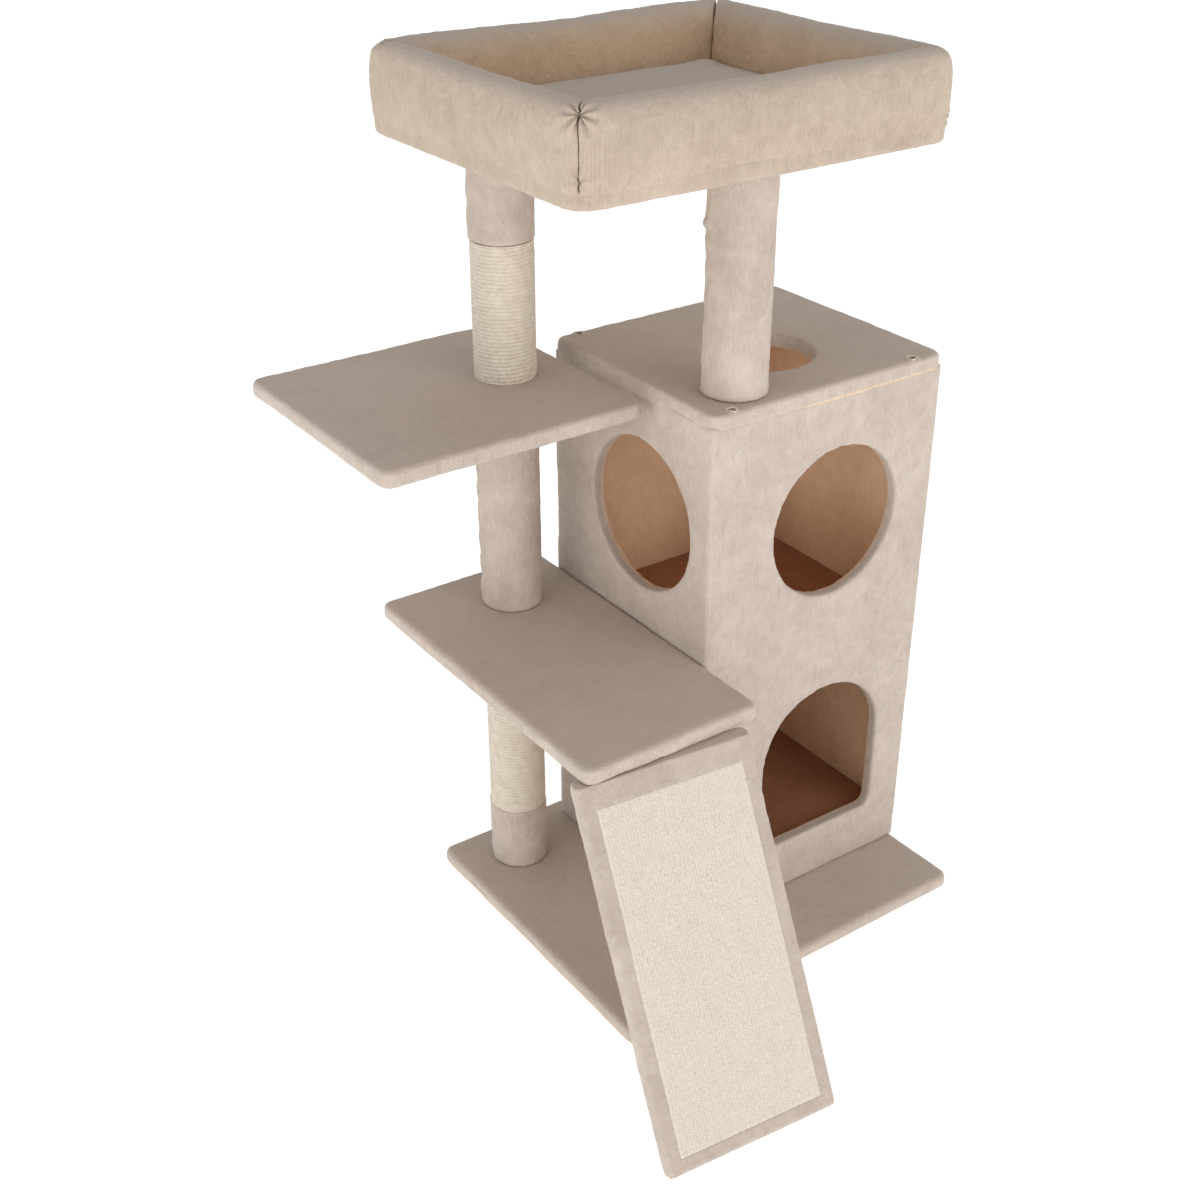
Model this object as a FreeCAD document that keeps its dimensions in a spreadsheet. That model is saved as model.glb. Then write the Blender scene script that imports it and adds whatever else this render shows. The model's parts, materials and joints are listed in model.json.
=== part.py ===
"""Cat tree: plush-covered base, two-room condo, three posts on one line, two platforms, ramp and bed.

Frame: +Z up, +X to the right along the condo's front, -Y to the front.
The origin is the middle of the base's underside, on the floor.
"""
import FreeCAD, Part
import math
import os
import Sketcher

doc = FreeCAD.newDocument("CatTree")
sheet = doc.addObject("Spreadsheet::Sheet", "Sizes")
SHEET_ROWS = [
    # covering materials and boards
    ("plush", 2.5), ("platform_board", 15.0), ("wall_board", 12.0), ("hem", 40.0), ("soft_edge", 6.0),
    ("corner_round", 12.0), ("clearance", 0.1),
    # base
    ("base_width", 500.0), ("base_depth", 420.0),
    # condo: left face, front face, outer size and roof height
    ("condo_left", -80.0), ("condo_front", -107.0), ("condo_width", 330.0), ("condo_depth", 295.0),
    ("condo_roof", 692.0), ("shelf_top", 363.0), ("room_floor_top", 76.0),
    ("window_radius", 91.0), ("front_window_x", 104.0), ("front_window_z", 521.0),
    ("side_window_y", 19.0), ("side_window_z", 533.0),
    ("roof_hole_radius", 66.0), ("roof_hole_x", 82.0), ("roof_hole_y", 18.0),
    ("door_x", 108.0), ("door_bottom", 90.0), ("door_top", 300.0),
    # platforms: corner, size and upper face
    ("lower_left", -305.0), ("lower_front", -201.0), ("lower_width", 225.0), ("lower_depth", 430.0),
    ("lower_top", 396.0),
    ("upper_left", -410.0), ("upper_front", -8.0), ("upper_width", 315.0), ("upper_depth", 305.0),
    ("upper_top", 680.0),
    # bed: board corner, size and underside, rolled rim and cushion
    ("bed_left", -284.0), ("bed_front", -159.0), ("bed_width", 450.0), ("bed_depth", 370.0),
    ("bed_underside", 946.0), ("rim_thick", 46.0), ("rim_tall", 75.0), ("rim_bulge", 14.0),
    ("rim_skin", 1.5), ("rim_flat", 8.0), ("mitre_gap", 0.15), ("cushion_thick", 24.0),
    ("bed_corner_round", 26.0),
    # posts
    ("tube_radius", 31.0), ("tube_wall", 5.0), ("rope", 3.5), ("post_plush", 4.5), ("plug_thick", 18.0),
    ("post_x", -172.0), ("post_y", 146.0), ("condo_post_x", -16.0), ("condo_post_y", -61.0),
    ("lower_band_top", 106.0), ("upper_rope_top", 834.0),
    # threaded fastenings
    ("thread_radius", 4.0), ("insert_radius", 5.5), ("bolt_length", 34.0), ("bolt_head", 6.5),
    ("bolt_head_thick", 5.3), ("washer_radius", 11.0), ("washer_thick", 1.5), ("counterbore", 7.0),
    # wood screws
    ("screw_head", 3.8), ("screw_head_thick", 2.4), ("screw_shank", 1.9), ("screw_length", 38.0),
    ("screw_eye", 4.6), ("bracket_screw_length", 12.0),
    ("wall_screw_low", 60.0), ("wall_screw_middle", 428.0), ("wall_screw_high", 600.0),
    ("shelf_screw_front", -40.0), ("shelf_screw_back", 120.0),
    ("roof_screw_left", 30.0), ("roof_screw_right", 42.0),
    # ramp
    ("ramp_width", 212.0), ("ramp_left", -334.0), ("ramp_foot_y", -390.0), ("ramp_lean", 28.0),
    ("ramp_turn", 5.5), ("ramp_length", 415.7), ("ramp_board", 12.0), ("ramp_border", 18.0),
    ("ramp_top_border", 25.0),
    ("mat_thick", 3.0), ("bracket_width", 30.0), ("bracket_leg", 45.0), ("bracket_thick", 2.0),
    ("bracket_inset", 35.0), ("bracket_near_screw", 20.0), ("bracket_far_screw", 36.0),
]
for row, (alias, value) in enumerate(SHEET_ROWS, start=1):
    sheet.set("A%d" % row, alias)
    sheet.set("B%d" % row, str(value))
    sheet.setAlias("B%d" % row, alias)
doc.recompute()


def size(alias):
    """The value of one cell of the sheet, in millimetres or degrees."""
    return float(sheet.get(alias))


def cells(expression):
    """The expression with every alias written as a reference to the sheet."""
    words = []
    token = ""
    for character in expression + " ":
        if character.isalnum() or character == "_":
            token += character
            continue
        words.append("Sizes." + token if token in ALIASES else token)
        words.append(character)
        token = ""
    return "".join(words).strip()


def number(expression):
    """The expression worked out from the sheet, for shapes that are placed in code."""
    total = sheet.evalExpression(cells(expression))
    return float(getattr(total, "Value", total))


def bind(thing, prop, expression):
    thing.setExpression(prop, cells(expression))


def place(thing, where):
    """Binds the three coordinates of a placement."""
    for axis, expression in zip("xyz", where):
        bind(thing, ".Placement.Base." + axis, expression)


ALIASES = {alias for alias, _ in SHEET_ROWS}
PARTS = []


def keep(thing, label):
    """Names a finished sub-part. The label is also its file's name."""
    thing.Label = label
    PARTS.append(thing)
    return thing


# ---- small building blocks -------------------------------------------------------------------

def origin_plane(body, role):
    return next(f for f in body.Origin.OriginFeatures if f.Role == role)


def sketch_on(body, role, name, offset=None):
    sketch = body.newObject("Sketcher::SketchObject", name)
    sketch.AttachmentSupport = [(origin_plane(body, role), "")]
    sketch.MapMode = "FlatFace"
    if offset:
        bind(sketch, ".AttachmentOffset.Base.z", offset)
    return sketch


def draw_rectangle(sketch, left, bottom, width, height):
    """A rectangle whose four measures are expressions, with left and bottom at or above zero."""
    corner = [FreeCAD.Vector(x, y, 0) for x, y in ((1, 1), (9, 1), (9, 9), (1, 9))]
    first = sketch.GeometryCount
    for k in range(4):
        sketch.addGeometry(Part.LineSegment(corner[k], corner[(k + 1) % 4]), False)
    rules = [Sketcher.Constraint("Coincident", first + k, 2, first + (k + 1) % 4, 1) for k in range(4)]
    rules += [Sketcher.Constraint("Horizontal", first), Sketcher.Constraint("Horizontal", first + 2)]
    rules += [Sketcher.Constraint("Vertical", first + 1), Sketcher.Constraint("Vertical", first + 3)]
    sketch.addConstraint(rules)
    for kind, start, end, expression in (
        ("DistanceX", (-1, 1), (first, 1), left),
        ("DistanceY", (-1, 1), (first, 1), bottom),
        ("DistanceX", (first, 1), (first, 2), width),
        ("DistanceY", (first + 1, 1), (first + 1, 2), height),
    ):
        value = number(expression)
        index = sketch.addConstraint(Sketcher.Constraint(kind, start[0], start[1], end[0], end[1], value))
        bind(sketch, "Constraints[%d]" % index, expression)


def draw_circle(sketch, x, y, radius):
    """A circle whose centre and radius are expressions, with the centre above zero both ways."""
    index = sketch.addGeometry(
        Part.Circle(FreeCAD.Vector(number(x), number(y), 0), FreeCAD.Vector(0, 0, 1), number(radius)), False)
    for kind, expression in (("DistanceX", x), ("DistanceY", y)):
        rule = sketch.addConstraint(Sketcher.Constraint(kind, -1, 1, index, 3, number(expression)))
        bind(sketch, "Constraints[%d]" % rule, expression)
    rule = sketch.addConstraint(Sketcher.Constraint("Radius", index, number(radius)))
    bind(sketch, "Constraints[%d]" % rule, radius)


def pad(body, sketch, length):
    feature = body.newObject("PartDesign::Pad", "Pad")
    feature.Profile = sketch
    bind(feature, "Length", length)
    doc.recompute()
    return feature


def pocket(body, sketch, length, upwards=True):
    """Cuts along the sketch's normal when upwards is true, and checks that something was cut."""
    before = body.Shape.Volume
    feature = body.newObject("PartDesign::Pocket", "Pocket")
    feature.Profile = sketch
    feature.Reversed = upwards
    bind(feature, "Length", length)
    doc.recompute()
    if body.Shape.Volume > before - 1:
        raise RuntimeError("the pocket in %s cut nothing" % body.Name)
    return feature


def fillet(body, chosen, radius):
    """Rounds the edges of the body's tip for which chosen(edge) is true."""
    tip = body.Tip
    names = ["Edge%d" % (k + 1) for k, edge in enumerate(tip.Shape.Edges) if chosen(edge)]
    feature = body.newObject("PartDesign::Fillet", "Fillet")
    feature.Base = (tip, names)
    bind(feature, "Radius", radius)
    doc.recompute()
    return feature


def is_upright(edge):
    ends = edge.Vertexes
    return len(ends) == 2 and abs(ends[0].Z - ends[1].Z) > 1 and abs(ends[0].X - ends[1].X) < 1e-3


def is_level(edge):
    return edge.BoundBox.ZLength < 1e-3


def corner_edges(low, right, back, front_left):
    """A test for the upright edges at a rectangle's corners: the front left one, or the other three."""
    def chosen(edge):
        if not is_upright(edge):
            return False
        x, y = edge.Vertexes[0].X, edge.Vertexes[0].Y
        at_left, at_front = abs(x - low) < 0.01, abs(y - low) < 0.01
        at_corner = (at_left or abs(x - right) < 0.01) and (at_front or abs(y - back) < 0.01)
        return at_corner and (at_left and at_front) == front_left
    return chosen


def round_corners(body, low, right, back, less="0", front_left="corner_round"):
    """Rounds the upright edges of the rectangle from (low, low) to (right, back). Its radius is corner_round
    less a margin, and the front left corner may have a radius of its own."""
    places = [number(expression) for expression in (low, right, back)]
    fillet(body, corner_edges(*places, True), "%s - %s" % (front_left, less))
    fillet(body, corner_edges(*places, False), "corner_round - " + less)


def board(label, where, width, depth, thick, holes=(), counterbores=(), front_left="corner_round"):
    """A flat board lying level, with round holes (x, y, radius) measured from its corner."""
    body = doc.addObject("PartDesign::Body", label)
    sketch = sketch_on(body, "XY_Plane", "Outline")
    draw_rectangle(sketch, "0", "0", width, depth)
    for x, y, radius in holes:
        draw_circle(sketch, x, y, radius)
    pad(body, sketch, thick)
    round_corners(body, "0", width, depth, "plush", front_left)
    for x, y, radius, start, deep in counterbores:
        sink = sketch_on(body, "XY_Plane", "Counterbore", start)
        draw_circle(sink, x, y, radius)
        pocket(body, sink, deep)
    place(body, where)
    return body


def board_cover(label, where, width, depth, thick, holes=(), access=(), wrapped="hem",
                front_left="corner_round"):
    """Plush glued over a board. It is turned in underneath by a hem, or covers the underside if wrapped is
    None."""
    body = doc.addObject("PartDesign::Body", label)
    outline = sketch_on(body, "XY_Plane", "Outline")
    draw_rectangle(outline, "0", "0", width, depth)
    pad(body, outline, thick)
    hollow = sketch_on(body, "XY_Plane", "Hollow", "plush")
    draw_rectangle(hollow, "plush", "plush", width + " - 2 * plush", depth + " - 2 * plush")
    pocket(body, hollow, thick + " - 2 * plush")
    round_corners(body, "plush", width + " - plush", depth + " - plush", "plush", front_left)
    round_corners(body, "0", width, depth, "0", front_left)
    upper_face = number(thick)
    fillet(body, lambda e: is_level(e) and e.CenterOfMass.z > upper_face - 0.01, "soft_edge")
    if wrapped:
        opening = sketch_on(body, "XY_Plane", "Underside")
        draw_rectangle(opening, wrapped, wrapped, "%s - 2 * %s" % (width, wrapped),
                       "%s - 2 * %s" % (depth, wrapped))
        pocket(body, opening, "plush")
    for depth_cut, circles in ((thick, holes), ("plush", access)):
        for x, y, radius in circles:
            hole = sketch_on(body, "XY_Plane", "Hole")
            draw_circle(hole, x, y, radius)
            pocket(body, hole, depth_cut)
    place(body, where)
    return body


def box(name, where, width, depth, tall):
    block = doc.addObject("Part::Box", name)
    for prop, expression in (("Length", width), ("Width", depth), ("Height", tall)):
        bind(block, prop, expression)
    place(block, where)
    return block


def rod(name, where, radius, length, axis="z"):
    """A cylinder that starts at a point and runs along +x, +y or +z."""
    cylinder = doc.addObject("Part::Cylinder", name)
    bind(cylinder, "Radius", radius)
    bind(cylinder, "Height", length)
    turn = {"z": (0, 0, 1, 0), "x": (0, 1, 0, 90), "y": (1, 0, 0, -90)}[axis]
    cylinder.Placement.Rotation = FreeCAD.Rotation(FreeCAD.Vector(*turn[:3]), turn[3])
    place(cylinder, where)
    return cylinder


def cut(name, base, tools):
    """base with all the tools taken away."""
    if len(tools) > 1:
        tool = doc.addObject("Part::MultiFuse", name + "_tools")
        tool.Shapes = tools
    else:
        tool = tools[0]
    result = doc.addObject("Part::Cut", name)
    result.Base = base
    result.Tool = tool
    return result


def turned(label, where, profile):
    """A round piece: the profile is (inner radius, outer radius, height) turned about its axis."""
    inner, outer, tall = profile
    body = doc.addObject("PartDesign::Body", label)
    sketch = sketch_on(body, "XZ_Plane", "Profile")
    draw_rectangle(sketch, inner, "0", "%s - (%s)" % (outer, inner), tall)
    feature = body.newObject("PartDesign::Revolution", "Revolution")
    feature.Profile = sketch
    feature.ReferenceAxis = (sketch, ["V_Axis"])
    feature.Angle = 360
    place(body, where)
    return body


def group(label, members):
    """Identical fasteners in one node, each still its own solid."""
    compound = doc.addObject("Part::Compound", label)
    compound.Links = members
    return keep(compound, label)


# ---- places worked out from the driving sizes -----------------------------------------------

PLATFORM = "(platform_board + 2 * plush)"
WALL = "(wall_board + 2 * plush)"
THROUGH = "(2 * %s)" % WALL  # long enough for a cutter to pass right through a wall
BASE_LEFT = "-base_width / 2"
BASE_FRONT = "-base_depth / 2"
BASE_TOP = PLATFORM
CONDO_RIGHT = "(condo_left + condo_width)"
CONDO_BACK = "(condo_front + condo_depth)"
ROOF_UNDERSIDE = "(condo_roof - %s)" % WALL
BED_TOP = "(bed_underside + %s)" % PLATFORM
RAMP_THICK = "(ramp_board + 2 * plush)"
POST = ("post_x", "post_y")
CONDO_POST = ("condo_post_x", "condo_post_y")


def from_corner(points, left, front, inset=""):
    """Each (x, y, radius) measured from a board's corner, for its sketches."""
    return [("%s - (%s)%s" % (x, left, inset), "%s - (%s)%s" % (y, front, inset), radius)
            for x, y, radius in points]


def covered_board(name, left, front, width, depth, underside, bolts, sinks=(), access=(), wrapped="hem",
                  screws=(), front_left="corner_round"):
    """A board and the plush round it.

    bolts are the (x, y) axes that pass through both, sinks the (x, y, start) of the bolt heads' recesses in
    the board, access the (x, y, radius) of the holes in the plush underneath, and screws cut their own holes
    in both. front_left is the radius of that corner.
    """
    inner = from_corner([axis + ("thread_radius + 0.5",) for axis in bolts], left, front, " - plush")
    outer = from_corner([axis + ("thread_radius + 1",) for axis in bolts], left, front)
    sunk = [from_corner([(x, y, "washer_radius + 1")], left, front, " - plush")[0] + (start, "counterbore")
            for x, y, start in sinks]
    core = board(name + "_plain_board", (left + " + plush", front + " + plush", underside + " + plush"),
                 width + " - 2 * plush", depth + " - 2 * plush", "platform_board", inner, sunk, front_left)
    skin = board_cover(name + "_plain_cover", (left, front, underside), width, depth, PLATFORM, outer,
                       from_corner(access, left, front), wrapped, front_left)
    for piece, label in ((core, name + "_board"), (skin, name + "_cover")):
        keep(cut(label, piece, list(screws)) if screws else piece, label)


INSIDE_LEFT = "(condo_left + plush)"
INSIDE_FRONT = "(condo_front + plush)"

# ---- wood screws -----------------------------------------------------------------------------------

TURNS = {"down": (1, 0, 0, 180), "up": (1, 0, 0, 0), "front": (1, 0, 0, -90), "back": (1, 0, 0, 90),
         "left": (0, 1, 0, 90), "right": (0, 1, 0, -90)}


def screw(name, where, way, length="screw_length"):
    """A countersunk screw whose head is flush at a point and whose shank is driven one way."""
    head = doc.addObject("Part::Cone", name + "_head")
    bind(head, "Radius1", "screw_head")
    bind(head, "Radius2", "screw_shank")
    bind(head, "Height", "screw_head_thick")
    whole = doc.addObject("Part::MultiFuse", name)
    whole.Shapes = [head, rod(name + "_shank", ("0", "0", "0"), "screw_shank", length)]
    turn = TURNS[way]
    whole.Placement.Rotation = FreeCAD.Rotation(FreeCAD.Vector(*turn[:3]), turn[3])
    place(whole, where)
    return whole


FRONT_LINE = "(condo_front + plush + wall_board / 2)"
BACK_LINE = "(%s - plush - wall_board / 2)" % CONDO_BACK
SCREW_LEFT = "(condo_left + roof_screw_left)"
SCREW_RIGHT = "(%s - roof_screw_right)" % CONDO_RIGHT
corners = [(x, y) for x in (SCREW_LEFT, SCREW_RIGHT) for y in (FRONT_LINE, BACK_LINE)]
roof_screws = [screw("roof_screw_%d" % k, (x, y, "condo_roof - plush"), "down")
               for k, (x, y) in enumerate(corners)]
base_screws = [screw("base_screw_%d" % k, (x, y, "plush"), "up") for k, (x, y) in enumerate(corners)]
LEFT_LINE = "(condo_left + plush + wall_board / 2)"
RIGHT_LINE = "(%s - plush - wall_board / 2)" % CONDO_RIGHT
wall_screws = []
WALL_SCREW_HEIGHTS = ("wall_screw_low", "wall_screw_middle", "wall_screw_high")
for k, (x, z) in enumerate([(x, z) for x in (LEFT_LINE, RIGHT_LINE) for z in WALL_SCREW_HEIGHTS]):
    wall_screws.append(screw("front_wall_screw_%d" % k, (x, INSIDE_FRONT, z), "front"))
    wall_screws.append(screw("back_wall_screw_%d" % k, (x, CONDO_BACK + " - plush", z), "back"))
shelf_screws = []
SHELF_SCREW_PLACES = [(y, top) for y in ("shelf_screw_front", "shelf_screw_back")
                      for top in ("shelf_top", "room_floor_top")]
for k, (y, top) in enumerate(SHELF_SCREW_PLACES):
    middle = "%s - %s / 2" % (top, WALL)
    shelf_screws.append(screw("left_shelf_screw_%d" % k, (INSIDE_LEFT, y, middle), "left"))
    shelf_screws.append(screw("right_shelf_screw_%d" % k, (CONDO_RIGHT + " - plush", y, middle), "right"))
for label, members in (("condo_roof_screws", roof_screws), ("condo_base_screws", base_screws),
                       ("condo_wall_screws", wall_screws), ("condo_shelf_screws", shelf_screws)):
    group(label, members)

# ---- brackets that hold the ramp under the lower platform ------------------------------------------

HEAD_PROUD = 0.4  # how far a screw's head stands out of the steel, in mm


def turn_with_ramp(shape):
    """Turns a shape about the upright line through the ramp's left foot, as the ramp itself is turned."""
    pivot = FreeCAD.Vector(size("ramp_left"), size("ramp_foot_y"), 0)
    return shape.rotated(pivot, FreeCAD.Vector(0, 0, 1), -size("ramp_turn"))


def bracket(name, x):
    """A bent steel strap: one leg under the lower platform, the other down the ramp's back."""
    tilt = math.radians(size("ramp_lean"))
    along = FreeCAD.Vector(0, math.sin(tilt), math.cos(tilt))
    behind = FreeCAD.Vector(0, math.cos(tilt), -math.sin(tilt))
    foot = FreeCAD.Vector(x, size("ramp_foot_y"), number(RAMP_THICK) * math.sin(tilt))
    back = foot + behind * (number(RAMP_THICK) + size("clearance"))
    under = size("lower_top") - number(PLATFORM) - size("clearance")
    reach = (under - back.z) / along.z
    bend = back + along * reach
    thick = size("bracket_thick")
    leg = size("bracket_leg")
    inner_bend = bend + FreeCAD.Vector(0, thick / math.cos(tilt) * (1 - math.sin(tilt)), -thick)
    outline = [bend, bend + FreeCAD.Vector(0, leg, 0), bend + FreeCAD.Vector(0, leg, -thick), inner_bend,
               bend - along * leg + behind * thick, bend - along * leg]
    face = Part.Face(Part.makePolygon(outline + outline[:1]))
    steel = face.extrude(FreeCAD.Vector(size("bracket_width"), 0, 0))
    screws = []
    for k, distance in enumerate((size("bracket_near_screw"), size("bracket_far_screw"))):
        middle = FreeCAD.Vector(size("bracket_width") / 2, 0, 0)
        flat = bend + middle + FreeCAD.Vector(0, distance, -thick)
        slope = bend + middle - along * distance + behind * thick
        places = (("flat", flat, FreeCAD.Vector(0, 0, 1)), ("slope", slope, behind * -1))
        for part_name, point, direction in places:
            radius = size("screw_shank")
            head_thick = size("screw_head_thick")
            head_start = point - direction * HEAD_PROUD
            head = Part.makeCone(size("screw_head"), radius, head_thick, head_start, direction)
            shank = Part.makeCylinder(radius, size("bracket_screw_length"), point, direction)
            whole = head.fuse(shank)
            steel = steel.cut(whole)
            fixing = doc.addObject("Part::Feature", "%s_%s_screw_%d" % (name, part_name, k))
            fixing.Shape = turn_with_ramp(whole)
            screws.append(fixing)
    strap = doc.addObject("Part::Feature", name)
    strap.Shape = turn_with_ramp(steel)
    return strap, screws


straps = []
strap_screws = []
far_bracket = size("ramp_width") - size("bracket_inset") - size("bracket_width")
for name, offset in (("left_bracket", size("bracket_inset")), ("right_bracket", far_bracket)):
    strap, its_screws = bracket(name, size("ramp_left") + offset)
    straps.append(strap)
    strap_screws += its_screws
group("ramp_brackets", straps)
group("ramp_bracket_screws", strap_screws)

# ---- base, platforms and bed board -----------------------------------------------------------

base_access = [POST + ("washer_radius + 1",)] + [corner + ("screw_eye",) for corner in corners]
covered_board("base", BASE_LEFT, BASE_FRONT, "base_width", "base_depth", "0", [POST], [POST + ("0",)],
              base_access, None, base_screws)
covered_board("lower_platform", "lower_left", "lower_front", "lower_width", "lower_depth",
              "(lower_top - %s)" % PLATFORM, [POST], screws=strap_screws)
covered_board("upper_platform", "upper_left", "upper_front", "upper_width", "upper_depth",
              "(upper_top - %s)" % PLATFORM, [POST])
covered_board("bed", "bed_left", "bed_front", "bed_width", "bed_depth", "bed_underside", [POST, CONDO_POST],
              [POST + ("platform_board - counterbore",), CONDO_POST + ("platform_board - counterbore",)],
              front_left="bed_corner_round")

# ---- condo panels ------------------------------------------------------------------------------

PANEL_TALL = "(%s - %s)" % (ROOF_UNDERSIDE, BASE_TOP)
ROUND_DOOR = "(door_top - window_radius)"


def opening_tools(name, grow, start, run):
    """The front window and the arched door, as cutters grown by a margin, from start for run along +y."""
    radius = "window_radius + " + grow
    window = rod(name + "_window", ("front_window_x", start, "front_window_z"), radius, run, "y")
    arch = rod(name + "_arch", ("door_x", start, ROUND_DOOR), radius, run, "y")
    straight = box(name + "_door", ("door_x - (%s)" % radius, start, "door_bottom - " + grow),
                   "2 * (%s)" % radius, run, "%s - door_bottom + %s" % (ROUND_DOOR, grow))
    return [window, arch, straight]


def side_tool(name, grow, start, run):
    return rod(name, (start, "side_window_y", "side_window_z"), "window_radius + " + grow, run, "x")


def roof_tool(name, grow, start, run):
    return rod(name, ("roof_hole_x", "roof_hole_y", start), "roof_hole_radius + " + grow, run)


front_blank = box("front_blank", (INSIDE_LEFT, INSIDE_FRONT, BASE_TOP), "condo_width - 2 * plush",
                  "wall_board", PANEL_TALL)
keep(cut("condo_front_panel", front_blank, opening_tools("front_panel", "plush", "condo_front - 1", THROUGH)
         + roof_screws + base_screws + wall_screws), "condo_front_panel")
back_blank = box("back_blank", (INSIDE_LEFT, CONDO_BACK + " - plush - wall_board", BASE_TOP),
                 "condo_width - 2 * plush", "wall_board", PANEL_TALL)
keep(cut("condo_back_panel", back_blank, roof_screws + base_screws + wall_screws), "condo_back_panel")
SIDE_DEPTH = "condo_depth - 2 * plush - 2 * wall_board"
left_blank = box("left_blank", (INSIDE_LEFT, INSIDE_FRONT + " + wall_board", BASE_TOP), "wall_board",
                 SIDE_DEPTH, PANEL_TALL)
keep(cut("condo_left_panel", left_blank, [side_tool("left_panel_window", "plush", "condo_left - 1", THROUGH)]
         + wall_screws + shelf_screws), "condo_left_panel")
right_corner = (CONDO_RIGHT + " - plush - wall_board", INSIDE_FRONT + " + wall_board", BASE_TOP)
right_blank = box("right_blank", right_corner, "wall_board", SIDE_DEPTH, PANEL_TALL)
keep(cut("condo_right_panel", right_blank, wall_screws + shelf_screws), "condo_right_panel")
ROOF_PANEL = ((INSIDE_LEFT, INSIDE_FRONT, "condo_roof - plush - wall_board"), "condo_width - 2 * plush",
              "condo_depth - 2 * plush", "wall_board")
roof_blank = board("roof_blank", *ROOF_PANEL)
roof_bolt = rod("roof_bolt_hole", CONDO_POST + (ROOF_UNDERSIDE,), "thread_radius + 0.5", WALL)
roof_opening = roof_tool("roof_panel_hole", "plush", ROOF_UNDERSIDE, WALL)
keep(cut("condo_roof_panel", roof_blank, [roof_opening, roof_bolt]
         + roof_screws), "condo_roof_panel")

# ---- condo shelf and floor, each wrapped in plush and held between the walls ---------------------

ROOM_LEFT = "(condo_left + %s)" % WALL
ROOM_FRONT = "(condo_front + %s)" % WALL
ROOM_WIDTH = "(condo_width - 2 * %s)" % WALL
ROOM_DEPTH = "(condo_depth - 2 * %s)" % WALL
for name, top in (("condo_shelf", "shelf_top"), ("condo_floor", "room_floor_top")):
    blank = box(name + "_blank", (ROOM_LEFT, ROOM_FRONT, top + " - plush - wall_board"), ROOM_WIDTH,
                ROOM_DEPTH, "wall_board")
    keep(cut(name + "_panel", blank, shelf_screws), name + "_panel")
    skin = box(name + "_skin", (ROOM_LEFT + " - plush", ROOM_FRONT + " - plush", "%s - %s" % (top, WALL)),
               ROOM_WIDTH + " + 2 * plush", ROOM_DEPTH + " + 2 * plush", WALL)
    core = box(name + "_core", (ROOM_LEFT, ROOM_FRONT, top + " - plush - wall_board"), ROOM_WIDTH, ROOM_DEPTH,
               "wall_board")
    keep(cut(name + "_cover", skin, [core] + shelf_screws), name + "_cover")

# ---- condo plush: outer sleeve with its hole rims, roof cover, and a lining in each room ----------

sleeve = doc.addObject("PartDesign::Body", "sleeve")
sleeve_outline = sketch_on(sleeve, "XY_Plane", "Outline")
draw_rectangle(sleeve_outline, "0", "0", "condo_width", "condo_depth")
pad(sleeve, sleeve_outline, PANEL_TALL)
fillet(sleeve, is_upright, "plush")
sleeve_inside = sketch_on(sleeve, "XY_Plane", "Inside")
draw_rectangle(sleeve_inside, "plush", "plush", "condo_width - 2 * plush", "condo_depth - 2 * plush")
pocket(sleeve, sleeve_inside, PANEL_TALL)
place(sleeve, ("condo_left", "condo_front", BASE_TOP))


def front_rim(name, chosen):
    """The plush turned in round an opening of the front wall: the wider cutter less the narrower one."""
    tools = opening_tools(name + "_outer", "plush", "condo_front", WALL)[chosen]
    bores = opening_tools(name + "_bore", "0", "condo_front", WALL)[chosen]
    outer = tools[0]
    if len(tools) > 1:
        outer = doc.addObject("Part::MultiFuse", name + "_whole")
        outer.Shapes = tools
    return cut(name, outer, bores)


front_rims = [front_rim("window_rim", slice(0, 1)), front_rim("door_rim", slice(1, 3))]
side_rim = cut("side_rim", side_tool("side_rim_outer", "plush", "condo_left", WALL),
               [side_tool("side_rim_bore", "0", "condo_left", WALL)])
open_sleeve = cut("open_sleeve", sleeve, opening_tools("sleeve_front", "0", "condo_front - 1", THROUGH)
                  + [side_tool("sleeve_side", "0", "condo_left - 1", THROUGH)])
outer_cover = doc.addObject("Part::MultiFuse", "condo_outer_cover")
outer_cover.Shapes = [open_sleeve, side_rim] + front_rims
keep(outer_cover, "condo_outer_cover")

roof_skin = doc.addObject("PartDesign::Body", "roof_skin")
roof_outline = sketch_on(roof_skin, "XY_Plane", "Outline")
draw_rectangle(roof_outline, "0", "0", "condo_width", "condo_depth")
pad(roof_skin, roof_outline, WALL)
round_corners(roof_skin, "0", "condo_width", "condo_depth")
fillet(roof_skin, lambda e: is_level(e) and e.CenterOfMass.z > 1, "soft_edge")
place(roof_skin, ("condo_left", "condo_front", ROOF_UNDERSIDE))
roof_core = cut("roof_core", board("roof_core_board", *ROOF_PANEL),
                [roof_tool("roof_core_hole", "plush", ROOF_UNDERSIDE, WALL)])
roof_bolt_gap = rod("roof_cover_bolt", CONDO_POST + (ROOF_UNDERSIDE + " - 1",), "thread_radius + 1", THROUGH)
screw_eyes = [rod("screw_eye_%d" % k, (x, y, "condo_roof - plush - 1"), "screw_eye", "2 * plush")
              for k, (x, y) in enumerate(corners)]
keep(cut("condo_roof_cover", roof_skin,
         [roof_core, roof_tool("roof_cover_hole", "0", ROOF_UNDERSIDE + " - 1", THROUGH), roof_bolt_gap]
         + screw_eyes + roof_screws), "condo_roof_cover")


def lining(label, floor, ceiling, openings):
    """Plush on the four inner walls of one room."""
    tall = "%s - (%s)" % (ceiling, floor)
    outer = box(label + "_outer", (ROOM_LEFT + " - plush", ROOM_FRONT + " - plush", floor),
                ROOM_WIDTH + " + 2 * plush", ROOM_DEPTH + " + 2 * plush", tall)
    inner = box(label + "_inner", (ROOM_LEFT, ROOM_FRONT, floor), ROOM_WIDTH, ROOM_DEPTH, tall)
    keep(cut(label, outer, [inner] + openings), label)


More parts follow.
